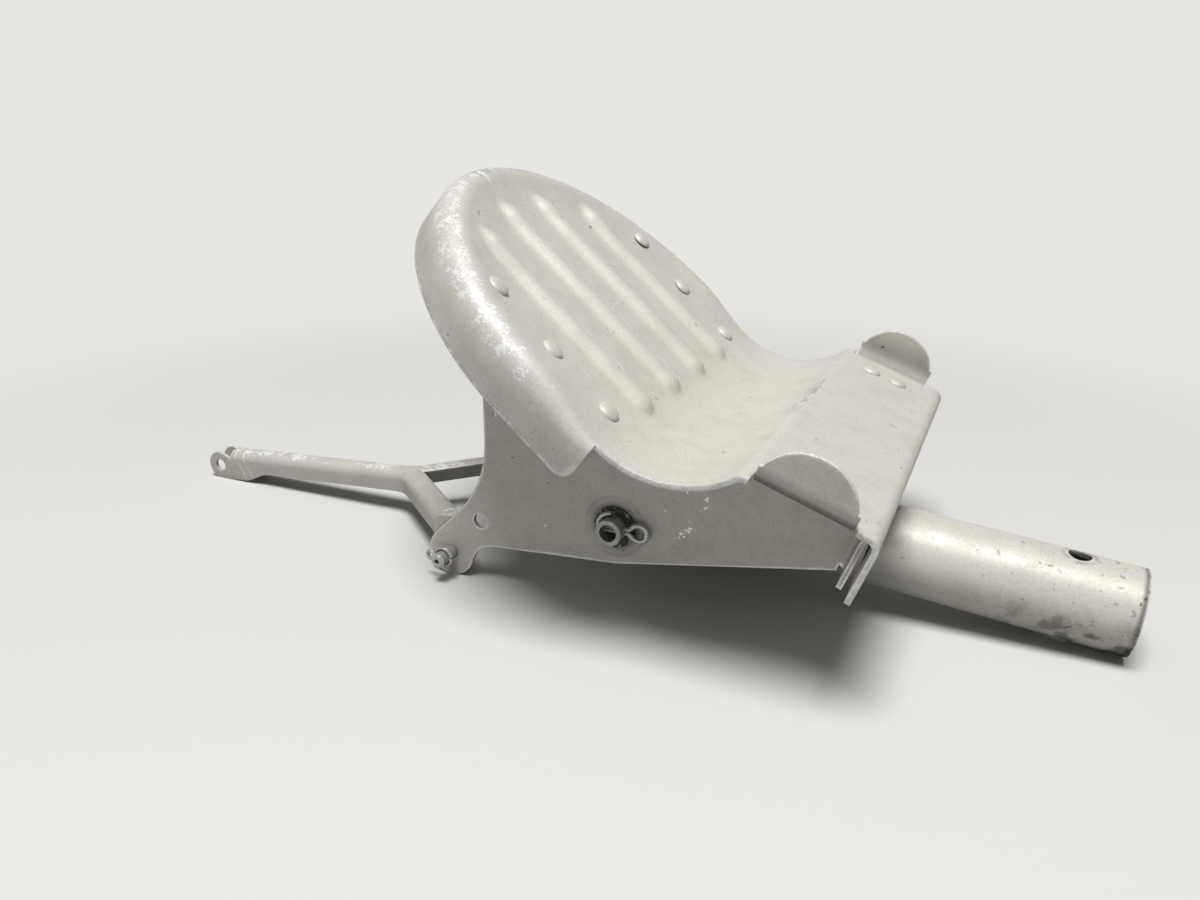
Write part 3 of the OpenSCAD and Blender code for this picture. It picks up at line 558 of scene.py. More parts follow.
def bracket_wear(tree, at):
    """Soot and a ring round the pivot pin, bare edges, a few nicks, and painted shade on the inner sides."""
    flat = add(tree, "ShaderNodeVectorMath", {0: at, 1: (1.0, 0.0, 1.0)}, operation="MULTIPLY")
    out_from_pin = add(tree, "ShaderNodeVectorMath", {0: flat, 1: (PIVOT.x, 0.0, PIVOT.z)}, out=1,
                       operation="DISTANCE")
    ring_r = 9.2 * MM
    ring = mask(tree, (out_from_pin, ring_r - 0.1 * MM, ring_r + 0.1 * MM, 0.8 * MM), 0.24,
                grain(tree, at, 5 * MM, over=(0.25, 0.6)))
    soot = mask(tree, (out_from_pin, 9 * MM, 6 * MM), 0.55)
    inner_y = min(abs(corner.y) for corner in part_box("left_bracket"))
    to_side = add(tree, "ShaderNodeMath", {0: chart(tree, at, PIVOT, ACROSS)}, operation="ABSOLUTE")
    # The inner sides are darkened as painted shade
    painted_shade_inside = mask(tree, (to_side, inner_y + 0.7 * MM, inner_y + 0.2 * MM), 0.6)
    bare_edges = mask(tree, edges(tree, 1.8 * MM), 0.14)
    nicks = mask(tree, grain(tree, at, 14 * MM, over=(0.5, 0.62)), 0.075)
    return total(tree, bare_edges, nicks, 0.02), total(tree, soot, ring, painted_shade_inside), None


def link_wear(tree, at):
    """Large chips along the channel's back, and cracked enamel at its far end."""
    normal = add(tree, "ShaderNodeTexCoord", out="Normal")
    upward = add(tree, "ShaderNodeVectorMath", {0: normal, 1: UP}, out=1, operation="DOT_PRODUCT")
    back = mask(tree, (upward, 0.4, 0.95), grain(tree, at, 16 * MM, over=(0.42, 0.6)), 0.19)
    # The enamel has cracked in lines across the far ears, where they were pressed together
    along = chart(tree, at, FAR_HOLE, (CLEVIS - FAR_HOLE).normalized())
    bent = total(tree, along, mask(tree, chart(tree, at, FAR_HOLE, UP), 0.5),
                 mask(tree, grain(tree, at, 5 * MM), 5 * MM))
    cracks = [mask(tree, (bent, line, line + 0.4 * MM, 0.5 * MM), 0.22) for line in (13 * MM, 17 * MM)]
    return total(tree, back, *cracks, 0.02), mask(tree, grain(tree, at, 12 * MM, 4.0), 0.2), None


def arm_wear(tree, at):
    """Dark smudges towards the open end, nicks, a ring round the bolt hole and a dirty bore."""
    socket = MOUNTS["arm_socket"]
    bolt = MOUNTS["arm_bolt_hole"]
    socket_r = socket["dims"]["r_mm"] * MM
    tube_r = bolt["dims"]["length_mm"] / 2 * MM
    end = (Vector(socket["pos_m"]) - PIVOT).dot(ARM_DIR)
    along = chart(tree, at, PIVOT, ARM_DIR)
    axis_point = add(tree, "ShaderNodeVectorMath", {0: ARM_DIR, "Scale": along}, operation="SCALE")
    offset = add(tree, "ShaderNodeVectorMath", {0: at, 1: PIVOT}, operation="SUBTRACT")
    off_axis = add(tree, "ShaderNodeVectorMath", {0: offset, 1: axis_point}, out=1, operation="DISTANCE")
    bore = mask(tree, (off_axis, tube_r - 0.2 * MM, socket_r + 0.5 * MM), 0.7)
    height = chart(tree, at, PIVOT, ARM_DIR.cross(ACROSS))
    smudge = mask(tree, (along, end - 53.7 * MM, end - 5.7 * MM), (height, 5 * MM, -6 * MM),
                  grain(tree, at, 6 * MM, 5.0, over=(0.46, 0.62)), 0.7)
    rim = mask(tree, (along, end - 2.1 * MM, end - 0.5 * MM), 0.7,
               grain(tree, at, 4 * MM, over=(0.25, 0.5)))
    # A washer has rubbed a ring round the bolt hole, and there are more short soft nicks near it
    hole = Vector(bolt["pos_m"]) + tube_r * Vector(bolt["axis"])
    out_from_hole = add(tree, "ShaderNodeVectorMath", {0: at, 1: hole}, out=1, operation="DISTANCE")
    ring = mask(tree, (out_from_hole, 3 * MM, 4 * MM, 1.5 * MM), 0.4,
                grain(tree, at, 3 * MM, over=(0.4, 0.6)))
    near_hole = mask(tree, (out_from_hole, 45 * MM, 12 * MM), 0.05)
    nicks = mask(tree, (total(tree, grain(tree, at, 2.2 * MM, 4.0), near_hole), 0.67, 0.74), 0.4)
    return 0.01, total(tree, bore, smudge, rim, ring, nicks), None


# Foot plate

def bead_height(s, u, v):
    """Height of the four raised beads over the toe plate's face. Their upper ends fade out."""
    half = s.bead_w / 2
    fade = 1.7
    fullness = 0.6
    highest = 0.0
    for row, end in ((-1.5, s.bead_outer_end), (-0.5, s.bead_inner_end),
                     (0.5, s.bead_inner_end), (1.5, s.bead_outer_end)):
        above = max(0.0, u - (end - fade * half)) / fade
        below = max(0.0, s.toe_start - s.bead_run + half - u)
        away = math.hypot(above + below, v - row * s.bead_pitch)
        if away < half:
            wave = 0.5 + 0.5 * math.cos(math.pi * away / half)
            highest = max(highest, s.bead_h * wave ** fullness)
    return highest


def crest_height(s, u, v):
    """Height and slope of the toe plate's dished face near its rolled edge.

    The dish fades out at the saddle."""
    out = math.hypot(max(0.0, u - s.toe_start - s.toe_side), v)
    foot = s.half_w - s.roll_r - s.crest_w
    share = min(1.0, max(0.0, (out - foot) / s.crest_w))
    amount = s.crest_h * smooth((u - s.toe_start) / s.toe_side)
    return amount * share ** 2, amount * 2 * share / s.crest_w


def toe_rim(s):
    """Points round the toe plate's face, with their outward directions and the rolled edge's radius there.

    The rolled edge tightens along the straight sides towards the saddle."""
    flat_w = s.half_w - s.roll_r
    middle = s.toe_start + s.toe_side
    step = 1.5 * s.mesh_step
    tip_end = s.toe_start + s.flange_tip_r
    side = []
    for u in spaced(s.toe_start, tip_end, 0.4 * step) + spaced(tip_end, middle, step)[1:-1]:
        side.append((u, s.end_roll_r + (s.roll_r - s.end_roll_r) * smooth((u - s.toe_start) / s.toe_side)))
    turns = spaced(-math.pi / 2, math.pi / 2, step / flat_w)
    rim = [(u, roll - s.half_w, 0.0, -1.0, roll) for u, roll in side]
    rim += [(middle + flat_w * math.cos(a), flat_w * math.sin(a), math.cos(a), math.sin(a), s.roll_r)
            for a in turns]
    rim += [(u, s.half_w - roll, 0.0, 1.0, roll) for u, roll in reversed(side)]
    return rim


def rolled_point(s, u, v, du, dv, roll, share):
    """A point a share of the way down the rolled edge and flange. The flange's lower corners are rounded."""
    top, slope = crest_height(s, u, v)
    start = -math.atan(slope)
    # The roll starts along the dished face, so it is as wide as before with a little smaller radius
    roll /= 1 - math.sin(start)
    depth = s.flange_depth + top + roll * (1 - math.cos(start))
    short = max(0.0, s.flange_tip_r - (u - s.toe_start))
    depth -= s.flange_tip_r - math.sqrt(s.flange_tip_r ** 2 - short ** 2)
    arc = roll * (math.pi / 2 - start)
    along = share * (arc + depth - roll)
    turn = start + min(along, arc) / roll
    out = roll * (math.sin(turn) - math.sin(start))
    drop = roll * (math.cos(start) - math.cos(turn)) + max(0.0, along - arc)
    lean = s.flange_lean * share * (1 - smooth((u - s.toe_start) / s.roll_r))
    return on_toe(s, u + du * out - lean, v + dv * out, top - drop)


def toe_face(bm, s, columns):
    """The toe plate's face with its beads, and its rolled edge and flange."""
    rim = toe_rim(s)
    flat_w = s.half_w - s.roll_r
    middle = s.toe_start + s.toe_side
    points = [Vector(spot[:2]) for spot in rim]
    points += [Vector((s.toe_start, v)) for v in reversed(columns[1:-1])]
    loop = [(k, (k + 1) % len(points)) for k in range(len(points))]
    inset = 0.7 * s.mesh_step
    for u in spaced(s.toe_start, middle + flat_w, s.mesh_step)[1:-1]:
        reach = math.sqrt(flat_w ** 2 - max(0.0, u - middle) ** 2) - inset
        points += [Vector((u, v)) for v in columns if abs(v) < reach]
    corners_2d, _, faces, origins, _, _ = delaunay_2d_cdt(points, loop, [], 1, 1e-7)
    on_rim = {}
    verts = []
    for corner, origin in zip(corners_2d, origins):
        height = bead_height(s, corner.x, corner.y) + crest_height(s, corner.x, corner.y)[0]
        vert = bm.verts.new(on_toe(s, corner.x, corner.y, height))
        verts.append(vert)
        for k in origin:
            on_rim[k] = vert
    made = [bm.faces.new([verts[k] for k in face]) for face in faces]
    bmesh.ops.join_triangles(bm, faces=made, angle_face_threshold=math.radians(25),
                             angle_shape_threshold=math.radians(35))
    row = [on_rim[k] for k in range(len(rim))]
    for share in spaced(0, 1, 0.06)[1:]:
        lower = [bm.verts.new(rolled_point(s, *spot, share)) for spot in rim]
        for k in range(len(rim) - 1):
            bm.faces.new((row[k], row[k + 1], lower[k + 1], lower[k]))
        row = lower


def lower_section(s):
    """Points of the section from the toe plate through saddle, ridge and lower plate to the lip's end.

    Each has the distance down the lower plate, or None before the ridge."""
    toe_along, toe_off = sloped(s.toe_slope, -1)
    low_along, low_off = sloped(s.lower_slope, 1)
    saddle = PIVOT + toe_off * (s.toe_dist + s.saddle_r) + toe_along * s.toe_start
    ridge = PIVOT + low_off * (s.lower_dist - s.ridge_r) + low_along * s.ridge_pos
    join = math.atan2(ridge.z - saddle.z, ridge.x - saddle.x)
    section = []
    for a in spaced(math.radians(-90) - s.toe_slope, join, 0.03):
        section.append((saddle + s.saddle_r * Vector((math.cos(a), 0, math.sin(a))), None))
    for a in spaced(join + math.pi, math.pi / 2 - s.lower_slope, 0.12)[1:-1]:
        section.append((ridge + s.ridge_r * Vector((math.cos(a), 0, math.sin(a))), None))
    cut = s.ear_r + s.ear_relief
    flat_end = s.lip_pos - s.lip_bend_r
    flat = [s.ridge_pos, s.ear_pos - cut] + spaced(s.ear_pos - s.ear_r, s.ear_pos + s.ear_r, 0.8 * MM)
    flat += [s.ear_pos + cut] + spaced(s.ear_pos + cut, flat_end, 1.5 * MM)[1:]
    section += [(on_lower(s, u, 0), u) for u in flat]
    for a in spaced(0, math.pi / 2, 0.2)[1:]:
        u = flat_end + s.lip_bend_r * math.sin(a)
        section.append((on_lower(s, u, 0, s.lip_bend_r * (math.cos(a) - 1)), s.lip_pos))
    for w in spaced(s.lip_bend_r, s.lip_len, 2 * MM)[1:]:
        section.append((on_lower(s, s.lip_pos, 0, -w), s.lip_pos))
    return section


def turn_up_ears(bm, s, section, columns, grid):
    """The two round ears, bent up from the sides of the lower plate's grid."""
    cut_v = s.half_w - s.ear_bend_r
    inner = s.ear_bend_r - s.sheet_t
    rows = [k for k, (_, u) in enumerate(section)
            if u is not None and abs(u - s.ear_pos) < s.ear_r + HAIR]
    for side in (-1, 1):
        edge = min(range(len(columns)), key=lambda j: abs(columns[j] - side * cut_v))
        last = None
        for k in rows:
            u = section[k][1]
            top = math.sqrt(max(0.0, s.ear_r ** 2 - (u - s.ear_pos) ** 2))
            strip = [grid[k][edge]]
            for a in spaced(0, math.pi / 2, 0.32)[1:]:
                strip.append(bm.verts.new(on_lower(
                    s, u, side * (cut_v + inner * math.sin(a)), inner * (1 - math.cos(a)))))
            for share in spaced(0, 1, 0.125)[1:]:
                w = inner + max(HAIR, top - inner) * share
                strip.append(bm.verts.new(on_lower(s, u, side * (cut_v + inner), w)))
            if last:
                for j in range(len(strip) - 1):
                    ring = (last[j], strip[j], strip[j + 1], last[j + 1])
                    bm.faces.new(ring if side > 0 else ring[::-1])
            last = strip


def lower_face(bm, s, columns):
    """Saddle, ridge, lower plate and lip, with the ears turned up at both sides."""
    section = lower_section(s)
    cut_v = s.half_w - s.ear_bend_r
    cut = s.ear_r + s.ear_relief
    half = 0.5 * sum(u is None for _, u in section)
    wing = s.half_w - s.end_roll_r
    foot = section[0][0]
    saddle = on_toe(s, s.toe_start, 0, s.saddle_r)
    grid = []
    for k, (point, u) in enumerate(section):
        # The sides of the saddle and the lip stand in a little. The ridge and the ears have the full width
        inset = s.saddle_inset * (1 - smooth(k / half - 1))
        if u is not None and u > s.ear_pos + cut - HAIR:
            inset = s.lip_inset
        squeeze = inset / s.end_roll_r
        off = (saddle - point).normalized()
        below_foot = (point - foot).length
        row = []
        for v in columns:
            across = math.copysign(abs(v) - squeeze * max(0.0, abs(v) - wing), v)
            rise = bead_height(s, s.toe_start - below_foot, v)
            row.append(bm.verts.new(point + ACROSS * across + off * rise))
        grid.append(row)
    for k in range(len(grid) - 1):
        u0, u1 = section[k][1], section[k + 1][1]
        in_cut = u0 is not None and u0 > s.ear_pos - cut - HAIR and u1 < s.ear_pos + cut + HAIR
        for j in range(len(columns) - 1):
            if in_cut and abs(columns[j] + columns[j + 1]) / 2 > cut_v:
                continue
            bm.faces.new((grid[k][j], grid[k + 1][j], grid[k + 1][j + 1], grid[k][j + 1]))
    turn_up_ears(bm, s, section, columns, grid)


def foot_plate_mesh(s):
    """The foot plate's outer face as one sheet."""
    cut_v = s.half_w - s.ear_bend_r
    wing = s.half_w - s.end_roll_r
    outside = spaced(cut_v, wing, s.mesh_step)[1:]
    columns = [-v for v in reversed(outside)] + spaced(-cut_v, cut_v, s.mesh_step) + outside
    margin = spaced(wing, s.half_w, 2 * MM)[1:]
    bm = bmesh.new()
    toe_face(bm, s, columns)
    lower_face(bm, s, [-v for v in reversed(margin)] + columns + margin)
    bmesh.ops.remove_doubles(bm, verts=bm.verts, dist=2 * HAIR)
    bmesh.ops.recalc_face_normals(bm, faces=bm.faces)
    top = max(bm.faces, key=lambda face: face.calc_center_median().z)
    if top.normal.z < 0:
        bmesh.ops.reverse_faces(bm, faces=bm.faces)
    return as_mesh(bm, "foot_plate_sheet")


class PEDAL_OT_foot_plate(bpy.types.Operator):
    """Forms the foot plate's sheet: toe plate with beads and rolled edge, saddle, lower plate, ears, lip."""
    bl_idname = "pedal.foot_plate"
    bl_label = "Foot plate"

    def execute(self, context):
        s = context.scene.pedal_plate
        piece = new_object("foot_plate_sheet", foot_plate_mesh(s))
        # The sheared edges are bare but for scraps of enamel
        coat(piece, worn_enamel("grey_enamel_foot_plate", foot_plate_wear),
             worn_enamel("sheared_edges", chips=0.2))
        wall = thicken(piece, s.sheet_t)
        wall.use_quality_normals = True
        wall.material_offset_rim = 1
        rounded = piece.modifiers.new("rounded", "BEVEL")
        rounded.width = 0.3 * MM
        rounded.segments = 2
        rounded.limit_method = "ANGLE"
        rounded.angle_limit = math.radians(55)
        plain_mesh(piece)
        dress(piece, "pedal", "paint", "foot_plate")
        return {"FINISHED"}


class PEDAL_OT_brackets(bpy.types.Operator):
    """Finishes the two brackets."""
    bl_idname = "pedal.brackets"
    bl_label = "Brackets"

    def execute(self, context):
        # Chips on the upright sides gleam with what stands round them
        enamel = worn_enamel("grey_enamel_brackets", bracket_wear, bare_metal=0.9)
        finish_nodes(enamel, *both("bracket"))
        return {"FINISHED"}


# Rivets

def rivet_seats(s, f):
    """Seats and directions of all the rivets."""
    seats = []
    for side in (-1, 1):
        for k in range(3):
            u = s.toe_start + f.toe_rivet_start + k * f.toe_rivet_pitch
            height = crest_height(s, u, f.toe_rivet_y)[0]
            seats.append((on_toe(s, u, side * f.toe_rivet_y, height), sloped(s.toe_slope, -1)[1]))
        for k in range(2):
            u = s.ridge_pos + f.lower_rivet_start + k * f.lower_rivet_pitch
            seats.append((on_lower(s, u, side * f.lower_rivet_y), sloped(s.lower_slope, 1)[1]))
    return seats


def rivet_tree(material):
    """Geometry Nodes that set a rivet on every point: a low domed head, its shank and its upset tail."""
    tree = bpy.data.node_groups.new("rivets", "GeometryNodeTree")
    face = tree.interface
    face.new_socket("Geometry", in_out="INPUT", socket_type="NodeSocketGeometry")
    for name in ("Head Diameter", "Head Height", "Shank Diameter", "Grip"):
        face.new_socket(name, in_out="INPUT", socket_type="NodeSocketFloat")
    face.new_socket("Geometry", in_out="OUTPUT", socket_type="NodeSocketGeometry")
    inputs = tree.nodes.new("NodeGroupInput").outputs
    head_r, shank_r, tail_r, tail_z, shank_z = (
        add(tree, "ShaderNodeMath", {0: inputs[name], 1: share}, operation="MULTIPLY")
        for name, share in (("Head Diameter", 0.5), ("Shank Diameter", 0.5), ("Shank Diameter", 0.75),
                            ("Grip", -1.0), ("Grip", -0.5)))

    def dome(radius, height, base, turned):
        """A closed dome with a flat foot."""
        ball = add(tree, "GeometryNodeMeshUVSphere", {"Segments": 28, "Rings": 14, "Radius": 1.0})
        spot = add(tree, "GeometryNodeInputPosition")
        upper = add(tree, "ShaderNodeVectorMath", {0: spot, 1: (-2.0, -2.0, 0.0)}, operation="MAXIMUM")
        ball = add(tree, "GeometryNodeSetPosition", {"Geometry": ball, "Position": upper})
        size = add(tree, "ShaderNodeCombineXYZ", {0: radius, 1: radius, 2: height})
        foot = add(tree, "ShaderNodeCombineXYZ", {2: base})
        return add(tree, "GeometryNodeTransform", {
            "Geometry": ball, "Scale": size, "Translation": foot, "Rotation": (turned, 0.0, 0.0)})

    head = dome(head_r, inputs["Head Height"], 0.0, 0.0)
    tail = dome(tail_r, shank_r, tail_z, math.pi)
    shank = add(tree, "GeometryNodeMeshCylinder",
                {"Vertices": 24, "Radius": shank_r, "Depth": inputs["Grip"]})
    shank_at = add(tree, "ShaderNodeCombineXYZ", {2: shank_z})
    shank = add(tree, "GeometryNodeTransform", {"Geometry": shank, "Translation": shank_at})
    joined = tree.nodes.new("GeometryNodeJoinGeometry")
    for part in (head, tail, shank):
        tree.links.new(part, joined.inputs[0])
    facing = add(tree, "GeometryNodeInputNamedAttribute", {"Name": "facing"}, data_type="FLOAT_VECTOR")
    turn = add(tree, "FunctionNodeAlignRotationToVector", {"Vector": facing}, axis="Z")
    placed = add(tree, "GeometryNodeInstanceOnPoints", {
        "Points": inputs["Geometry"], "Instance": joined.outputs[0], "Rotation": turn})
    real = add(tree, "GeometryNodeRealizeInstances", {"Geometry": placed})
    painted = add(tree, "GeometryNodeSetMaterial", {"Geometry": real, "Material": material})
    add(tree, "NodeGroupOutput", {0: painted})
    return tree


class PEDAL_OT_rivets(bpy.types.Operator):
    """Sets the ten rivets that hold the foot plate to its brackets."""
    bl_idname = "pedal.rivets"
    bl_label = "Rivets"

    def execute(self, context):
        f = context.scene.pedal_fasteners
        seats = rivet_seats(context.scene.pedal_plate, f)
        mesh = bpy.data.meshes.new("rivets")
        mesh.from_pydata([seat for seat, _ in seats], [], [])
        facing = mesh.attributes.new("facing", "FLOAT_VECTOR", "POINT")
        for item, (_, off) in zip(facing.data, seats):
            item.vector = off
        piece = new_object("rivets", mesh)
        material = worn_enamel("grey_enamel_rivets")
        tree = rivet_tree(material)
        nodes = piece.modifiers.new("rivets", "NODES")
        nodes.node_group = tree
        sizes = {"Head Diameter": f.rivet_head_d, "Head Height": f.rivet_head_h,
                 "Shank Diameter": f.rivet_d, "Grip": f.rivet_grip}
        for item in tree.interface.items_tree:
            if item.name in sizes:
                nodes[item.identifier] = sizes[item.name]
        plain_mesh(piece, math.radians(50))
        if len(piece.data.vertices) < len(seats):
            raise RuntimeError("the rivets were not made")
        dress(piece, "pedal", "paint", *both("toe_rivets", "lower_rivets"))
        return {"FINISHED"}


# Pins

class PEDAL_OT_pivot(bpy.types.Operator):
    """Finishes the pivot pin, its washers and bushes, and the clevis pins."""
    bl_idname = "pedal.pivot"
    bl_label = "Pivot pin"

    def execute(self, context):
        finish_nodes(plated_steel("plated_steel_pivot", soot=0.25), "pivot_pin")
        finish_nodes(plated_steel("greasy_steel_washers", soot=1.0), *both("pivot_washer"))
        finish_nodes(bearing_bronze("bearing_bronze"), *both("bush", "thrust_washer"))
        finish_nodes(plated_steel("plated_steel_clevis"), *both("clevis_pin"))
        return {"FINISHED"}


def wire(name, points, radius):
    """A round wire through points, as a mesh."""
    curve = bpy.data.curves.new(name, "CURVE")
    curve.dimensions = "3D"
    curve.bevel_depth = radius
    curve.bevel_resolution = 4
    curve.use_fill_caps = True
    curve.resolution_u = 6
    line = curve.splines.new("NURBS")
    line.points.add(len(points) - 1)
    for item, point in zip(line.points, points):
        item.co = (*point, 1.0)
    line.order_u = 4
    line.use_endpoint_u = True
    maker = new_object(name, curve)
    mesh = evaluated_mesh(maker)
    bpy.data.objects.remove(maker)
    bpy.data.curves.remove(curve)
    mesh.shade_smooth()
    mesh.name = name
    return new_object(name, mesh)


def split_pin_path(centre, wire_d, pin_r, sense, wrap, eye, wide):
    """Path of a split pin along X: an eye on one side of its pin, and two ends bent round on the other.

    Sense is the eye's side and wrap how far the ends go round. Eye and wide are the eye's length and half
    width in wires."""
    lane = 0.36 * wire_d
    ring = pin_r + 0.55 * wire_d
    half = [(-ring * math.cos(a), ring * math.sin(a)) for a in spaced(wrap, math.radians(22), 0.3)]
    half += [(-0.97 * ring, 0.9 * lane), (-0.6 * pin_r, lane), (0, lane), (pin_r, lane)]
    half += [(ring + step * eye * wire_d, max(lane, height * wide * wire_d))
             for step, height in ((0.08, 0.0), (0.25, 0.85), (0.6, 1.15), (0.92, 0.85))]
    half.append((ring + eye * wire_d, 0))
    path = half + [(x, -z) for x, z in reversed(half[:-1])]
    return [centre + Vector((sense * x, 0, z)) for x, z in path]


class PEDAL_OT_split_pins(bpy.types.Operator):
    """Bends the split pins of the pivot pin and of the clevis pins."""
    bl_idname = "pedal.split_pins"
    bl_label = "Split pins"

    def execute(self, context):
        f = context.scene.pedal_fasteners
        material = plated_steel("plated_steel_wire")
        kinds = (("pivot_cotter", PIVOT, f.cotter_d, f.pin_d,
                  {"sense": 1, "wrap": math.radians(85), "eye": 3.7, "wide": 1.45}),
                 ("clevis_cotter", CLEVIS, f.clevis_cotter_d, f.clevis_d,
                  {"sense": -1, "wrap": math.radians(150), "eye": 2.4, "wide": 1.0}))
        # The wire is a little thinner than its hole
        wire_share = 0.48
        for side in ("left_", "right_"):
            for kind, origin, wire_d, pin_d, bends in kinds:
                low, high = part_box(side + kind)
                centre = Vector((origin.x, (low.y + high.y) / 2, origin.z))
                path = split_pin_path(centre, wire_d, pin_d / 2, **bends)
                piece = wire(side + kind + "_wire", path, wire_share * wire_d)
                coat(piece, material)
                dress(piece, "pedal", "steel", side + kind)
        return {"FINISHED"}


# Arm

class PEDAL_OT_arm(bpy.types.Operator):
    """Finishes the arm's tube and the cross tube welded through it."""
    bl_idname = "pedal.arm"
    bl_label = "Arm"

    def execute(self, context):
        finish_nodes(worn_enamel("grey_enamel_arm", arm_wear), "arm_tube")
        finish_nodes(plated_steel("plated_steel_cross_tube"), "cross_tube", "weld_beads")
        return {"FINISHED"}


# Link

def on_link(s, x, y, z):
    """A point on the link: x along its back from the far hole, y across and z over its back."""
    level = (CLEVIS - FAR_HOLE).normalized()
    along = Matrix.Rotation(-s.rise, 3, "Y") @ level
    off = along.cross(ACROSS)
    return FAR_HOLE + along * x + ACROSS * y + off * (s.back_h + z)


def link_path(s):
    """Places along one side's middle line with their headings: the shank, the bend and one leg."""
    root = s.far_len - s.fork_len
    lean = math.atan2(s.ear_y - s.sheet_t / 2, s.fork_len)
    bend_start = root - s.bend_r * math.tan(lean / 2)
    stations = [(-s.end_r * math.cos(a), 0.0, 0.0) for a in spaced(0.06, math.pi / 2, 0.15)]
    stations += [(x, 0.0, 0.0) for x in spaced(0, s.back_inset, 1 * MM)[1:]]
    stations += [(x, 0.0, 0.0) for x in spaced(s.back_inset, bend_start, 2 * MM)[1:-1]]
    for a in spaced(0, lean, 0.05):
        stations.append((bend_start + s.bend_r * math.sin(a), s.bend_r * (1 - math.cos(a)), a))
    x, y, _ = stations[-1]
    reach = (s.ear_y + s.width - y) / math.sin(lean)
    leg = [(x + d * math.cos(lean), y + d * math.sin(lean), lean) for d in spaced(0, reach, 3 * MM)[1:]]
    return stations + leg


def link_wall(s, x, heading):
    """Lower and upper edge of the channel's walls at a place. The far ears reach lower and have no back."""
    middle = -s.back_h
    low = middle - s.end_r
    if heading or x > 2 * s.end_len:
        return -s.depth, -s.round_r
    if x > s.end_len:
        return low + (-s.depth - low) * smooth(x / s.end_len - 1), -s.round_r
    if x > s.back_inset - HAIR:
        return low, -s.round_r
    if x > 0:
        return low, middle + s.end_r - 0.4 * x
    half = math.sqrt(s.end_r ** 2 - x ** 2)
    return middle - half, middle + half


def link_mesh(s):
    """The link's outer face: one side swept along its path, cut at the middle and mirrored."""
    bm = bmesh.new()
    half = s.width / 2
    arc = [(half - s.round_r + s.round_r * math.cos(a), s.round_r * (math.sin(a) - 1))
           for a in spaced(0, math.pi / 2, 0.2)[1:]]
    path = link_path(s)
    steps = 4
    last = None
    for x, y, heading in path:
        low, high = link_wall(s, x, heading)
        wall = [(half, z) for z in spaced(low, high, (high - low) / steps)]
        section = wall + arc + [(0.0, 0.0)] + [(-q, z) for q, z in reversed(wall + arc)]
        row = [bm.verts.new(on_link(s, x - q * math.sin(heading), y + q * math.cos(heading), z))
               for q, z in section]
        count = len(section) - 1
        made = set(range(count))
        if x < s.back_inset + HAIR and not heading:
            # The far ears have no back between them
            made = set(range(steps)) | set(range(count - steps, count))
        elif heading > 0.8 * path[-1][2]:
            # The legs have no inner walls, and a turned-down inner edge
            made -= set(range(count - steps - len(arc) // 2, count))
        if last:
            for k in made:
                bm.faces.new((last[k], row[k], row[k + 1], last[k + 1]))
        last = row
    bmesh.ops.delete(bm, geom=[vert for vert in bm.verts if not vert.link_faces], context="VERTS")
    for cut_y, kept in ((0.0, -ACROSS), (s.ear_y - s.sheet_t / 2, ACROSS)):
        bmesh.ops.bisect_plane(bm, geom=bm.verts[:] + bm.edges[:] + bm.faces[:], dist=1e-6,
                               plane_co=ACROSS * cut_y, plane_no=kept, clear_outer=True)
    copied = bmesh.ops.duplicate(bm, geom=bm.verts[:] + bm.edges[:] + bm.faces[:])["geom"]
    for vert in (item for item in copied if isinstance(item, bmesh.types.BMVert)):
        vert.co.y = -vert.co.y
    bmesh.ops.reverse_faces(bm, faces=[item for item in copied if isinstance(item, bmesh.types.BMFace)])
    bmesh.ops.remove_doubles(bm, verts=bm.verts, dist=HAIR)
    bmesh.ops.recalc_face_normals(bm, faces=bm.faces)
    top = max(bm.faces, key=lambda face: abs(face.normal.z))
    if top.normal.z < 0:
        bmesh.ops.reverse_faces(bm, faces=bm.faces)
    return as_mesh(bm, "brake_link_channel")


def rods(name, *sizes):
    """Closed rods along Y, each given by its middle, radius and half length."""
    bm = bmesh.new()
    for middle, radius, half in sizes:
        laid = Matrix.Translation(middle) @ Matrix.Rotation(math.pi / 2, 4, "X")
        bmesh.ops.create_cone(bm, cap_ends=True, segments=48, radius1=radius, radius2=radius, depth=2 * half,
                              matrix=laid)
    return new_object(name, as_mesh(bm, name))


def pin_ears(s):
    """The two plates that carry the clevis pins and close the legs' ends."""
    bm = bmesh.new()
    level = (CLEVIS - FAR_HOLE).normalized()
    off = level.cross(ACROSS)
    top = s.back_h + s.far_len * math.tan(s.rise) - s.round_r
    flat = s.ear_r - s.round_r
    outline = [(s.ear_r * math.cos(a), s.ear_r * math.sin(a)) for a in spaced(math.pi, math.tau, 0.12)]
    for side, first in ((1, 0.0), (-1, math.pi / 2)):
        outline += [(side * flat + s.round_r * math.cos(a), top + s.round_r * math.sin(a))
                    for a in spaced(first, first + math.pi / 2, 0.2)]
    for side in (-1, 1):
        face = bm.faces.new([bm.verts.new(CLEVIS + level * x + off * z + ACROSS * (side * s.ear_y))
                             for x, z in outline])
        wall = bmesh.ops.extrude_face_region(bm, geom=[face])["geom"]
        moved = [item for item in wall if isinstance(item, bmesh.types.BMVert)]
        bmesh.ops.translate(bm, verts=moved, vec=ACROSS * (-side * s.sheet_t))
    bmesh.ops.recalc_face_normals(bm, faces=bm.faces)
    return new_object("pin_ears", as_mesh(bm, "pin_ears"))


